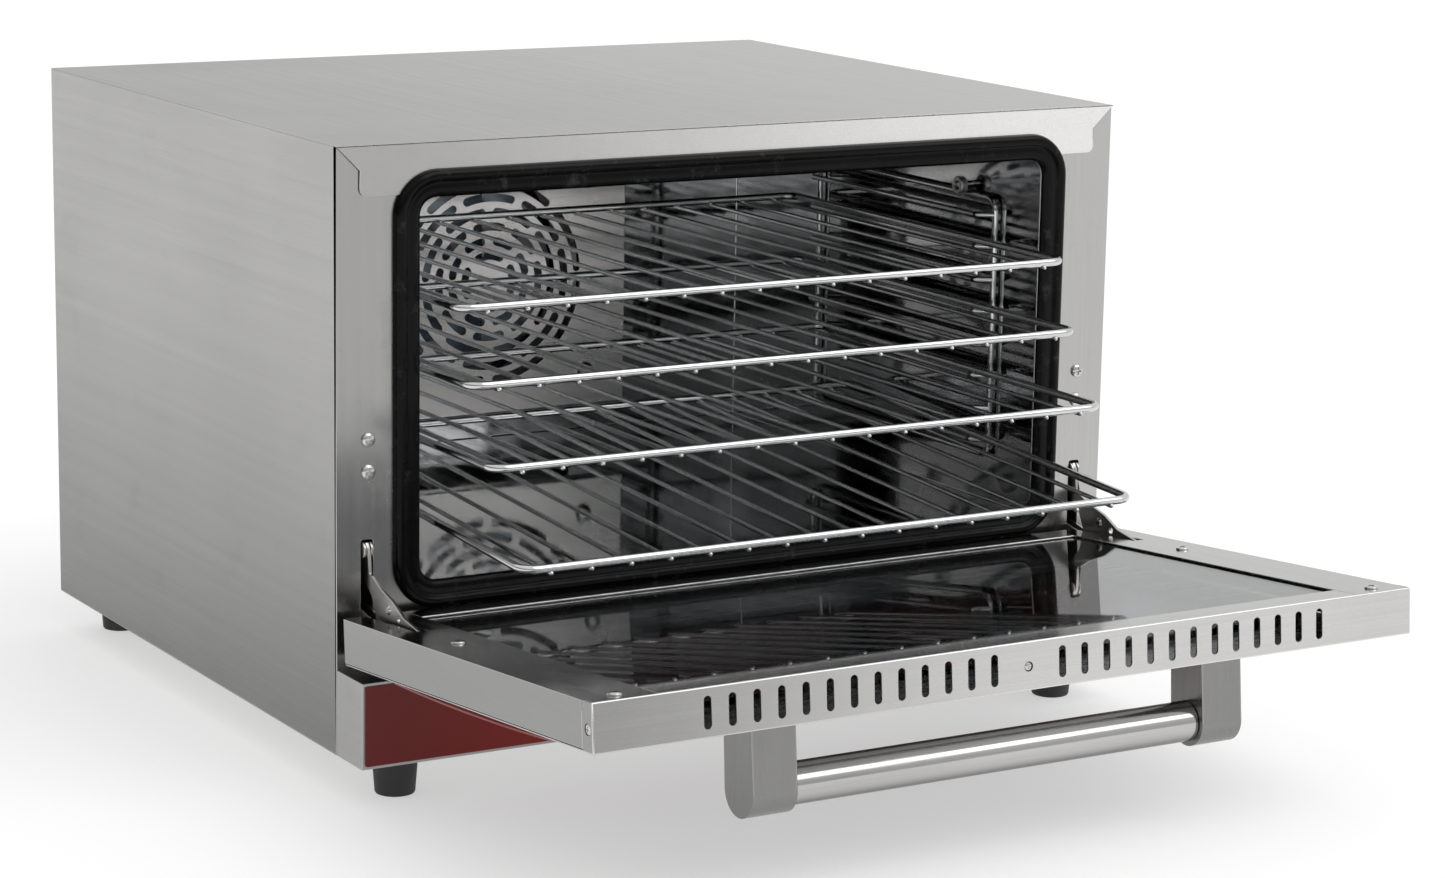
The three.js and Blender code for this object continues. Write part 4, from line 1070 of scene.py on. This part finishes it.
backScrews = {"across": (-285, -95, 95, 285), "heights": (12, 376), "radius": 4.0, "rise": 1.6, "proud": 0.02}
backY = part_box("back_cover")[1].y + backScrews["proud"] * mm
for x in backScrews["across"]:
    for height in backScrews["heights"]:
        word = "left" if x < 0 else "right"
        place = Matrix.Translation((x * mm, backY, baseZ + height * mm)) @ towardBack
        addScrew(f"back_{word}_{abs(x)}_{height}", "cabinet", place, backScrews["radius"], backScrews["rise"])

upward = Matrix.Identity(4)
doorScrews = [
    # name, place in the door's own frame, way it faces, head radius, height
    ("inner_left_near", (-276, door["inner"], 104.2), towardBack, 4.4, 1.9),
    ("inner_left_far", (-276, door["inner"], 300.2), towardBack, 4.4, 1.9),
    ("inner_right_near", (276, door["inner"], 104.2), towardBack, 4.4, 1.9),
    ("inner_right_far", (276, door["inner"], 300.2), towardBack, 4.4, 1.9),
    ("end_middle", (0, door["endScrew"], 311.9), upward, 2.5, 0.85),
    ("tab_left", (-296.5, *door["tabScrew"]), towardLeft, 3.3, 0.9),
    ("tab_right", (296.5, *door["tabScrew"]), towardRight, 3.3, 0.9),
]
for name, spot, way, radius, rise in doorScrews:
    addScrew(name, "door", doorPlace @ Matrix.Translation(Vector(spot) * mm) @ way, radius, rise)
print("small parts made")


# The studio: floor, sky, one light and the camera
def floorFinish():
    make = Maker("pale_floor")
    cloud = make.noise(0.8, 2)
    fine = make.noise(60, 3)
    base = make.mix(cloud, grey(0.52), grey(0.55))
    return make.finish(
        Base_Color=make.mix(fine * 0.1, base, grey(0.5)), Roughness=0.75 + 0.1 * cloud,
        Specular_IOR_Level=0.1, Emission_Color=make.mix(cloud, grey(0.97), grey(1.0)), Emission_Strength=0.5,
    )


floorReach = 40      # metres from the middle to each side
floorShape = bmesh.new()
bmesh.ops.create_grid(floorShape, x_segments=2, y_segments=2, size=floorReach)
floorMesh = bpy.data.meshes.new("floor")
floorShape.to_mesh(floorMesh)
floorShape.free()
floorMesh.materials.append(floorFinish())
floor = bpy.data.objects.new("floor", floorMesh)
bpy.context.scene.collection.objects.link(floor)

studio = {
    "above": 1.1, "horizon": 0.6, "toRight": 0.46, "toBack": 0.12, "darkest": 0.15, "rise": (0.05, 0.75),
    "soft": {"energy": 1.0, "angle": 50, "turn": (38, 0, 35)},
}
sky = Maker("studio", sky=True)
x, y, z = sky.axes()
low = (studio["horizon"] + x * studio["toRight"] + y * studio["toBack"]).most(studio["darkest"])
risen = z.band(*studio["rise"])
glow = sky.node("ShaderNodeBackground", {}, {"Strength": low * (1 - risen) + studio["above"] * risen})
sky.node("ShaderNodeOutputWorld", {}, {"Surface": glow}, None)
bpy.context.scene.world = sky.material

sun = bpy.data.lights.new("soft_key", "SUN")
sun.energy = studio["soft"]["energy"]
sun.angle = math.radians(studio["soft"]["angle"])
key = bpy.data.objects.new("soft_key", sun)
key.rotation_euler = [math.radians(turn) for turn in studio["soft"]["turn"]]
bpy.context.scene.collection.objects.link(key)
bpy.context.scene.view_settings.view_transform = "Standard"

view = {
    "place": (-1.26947, -2.18219, 0.71475), "yaw": 30.87, "down": 11.67, "roll": 1.02,
    "lens": 93.13, "sensor": 36,
}
lensData = bpy.data.cameras.new("camera")
lensData.lens = view["lens"]
lensData.sensor_width = view["sensor"]
camera = bpy.data.objects.new("camera", lensData)
yaw, down, roll = (math.radians(view[key]) for key in ("yaw", "down", "roll"))
ahead = Vector((math.sin(yaw) * math.cos(down), math.cos(yaw) * math.cos(down), -math.sin(down)))
level = Vector((math.cos(yaw), -math.sin(yaw), 0))
over = level.cross(ahead)
right = level * math.cos(roll) + over * math.sin(roll)
up = over * math.cos(roll) - level * math.sin(roll)
camera.matrix_world = Matrix.Translation(view["place"]) @ Matrix((right, up, -ahead)).transposed().to_4x4()
bpy.context.scene.collection.objects.link(camera)
bpy.context.scene.camera = camera
print("stage made")
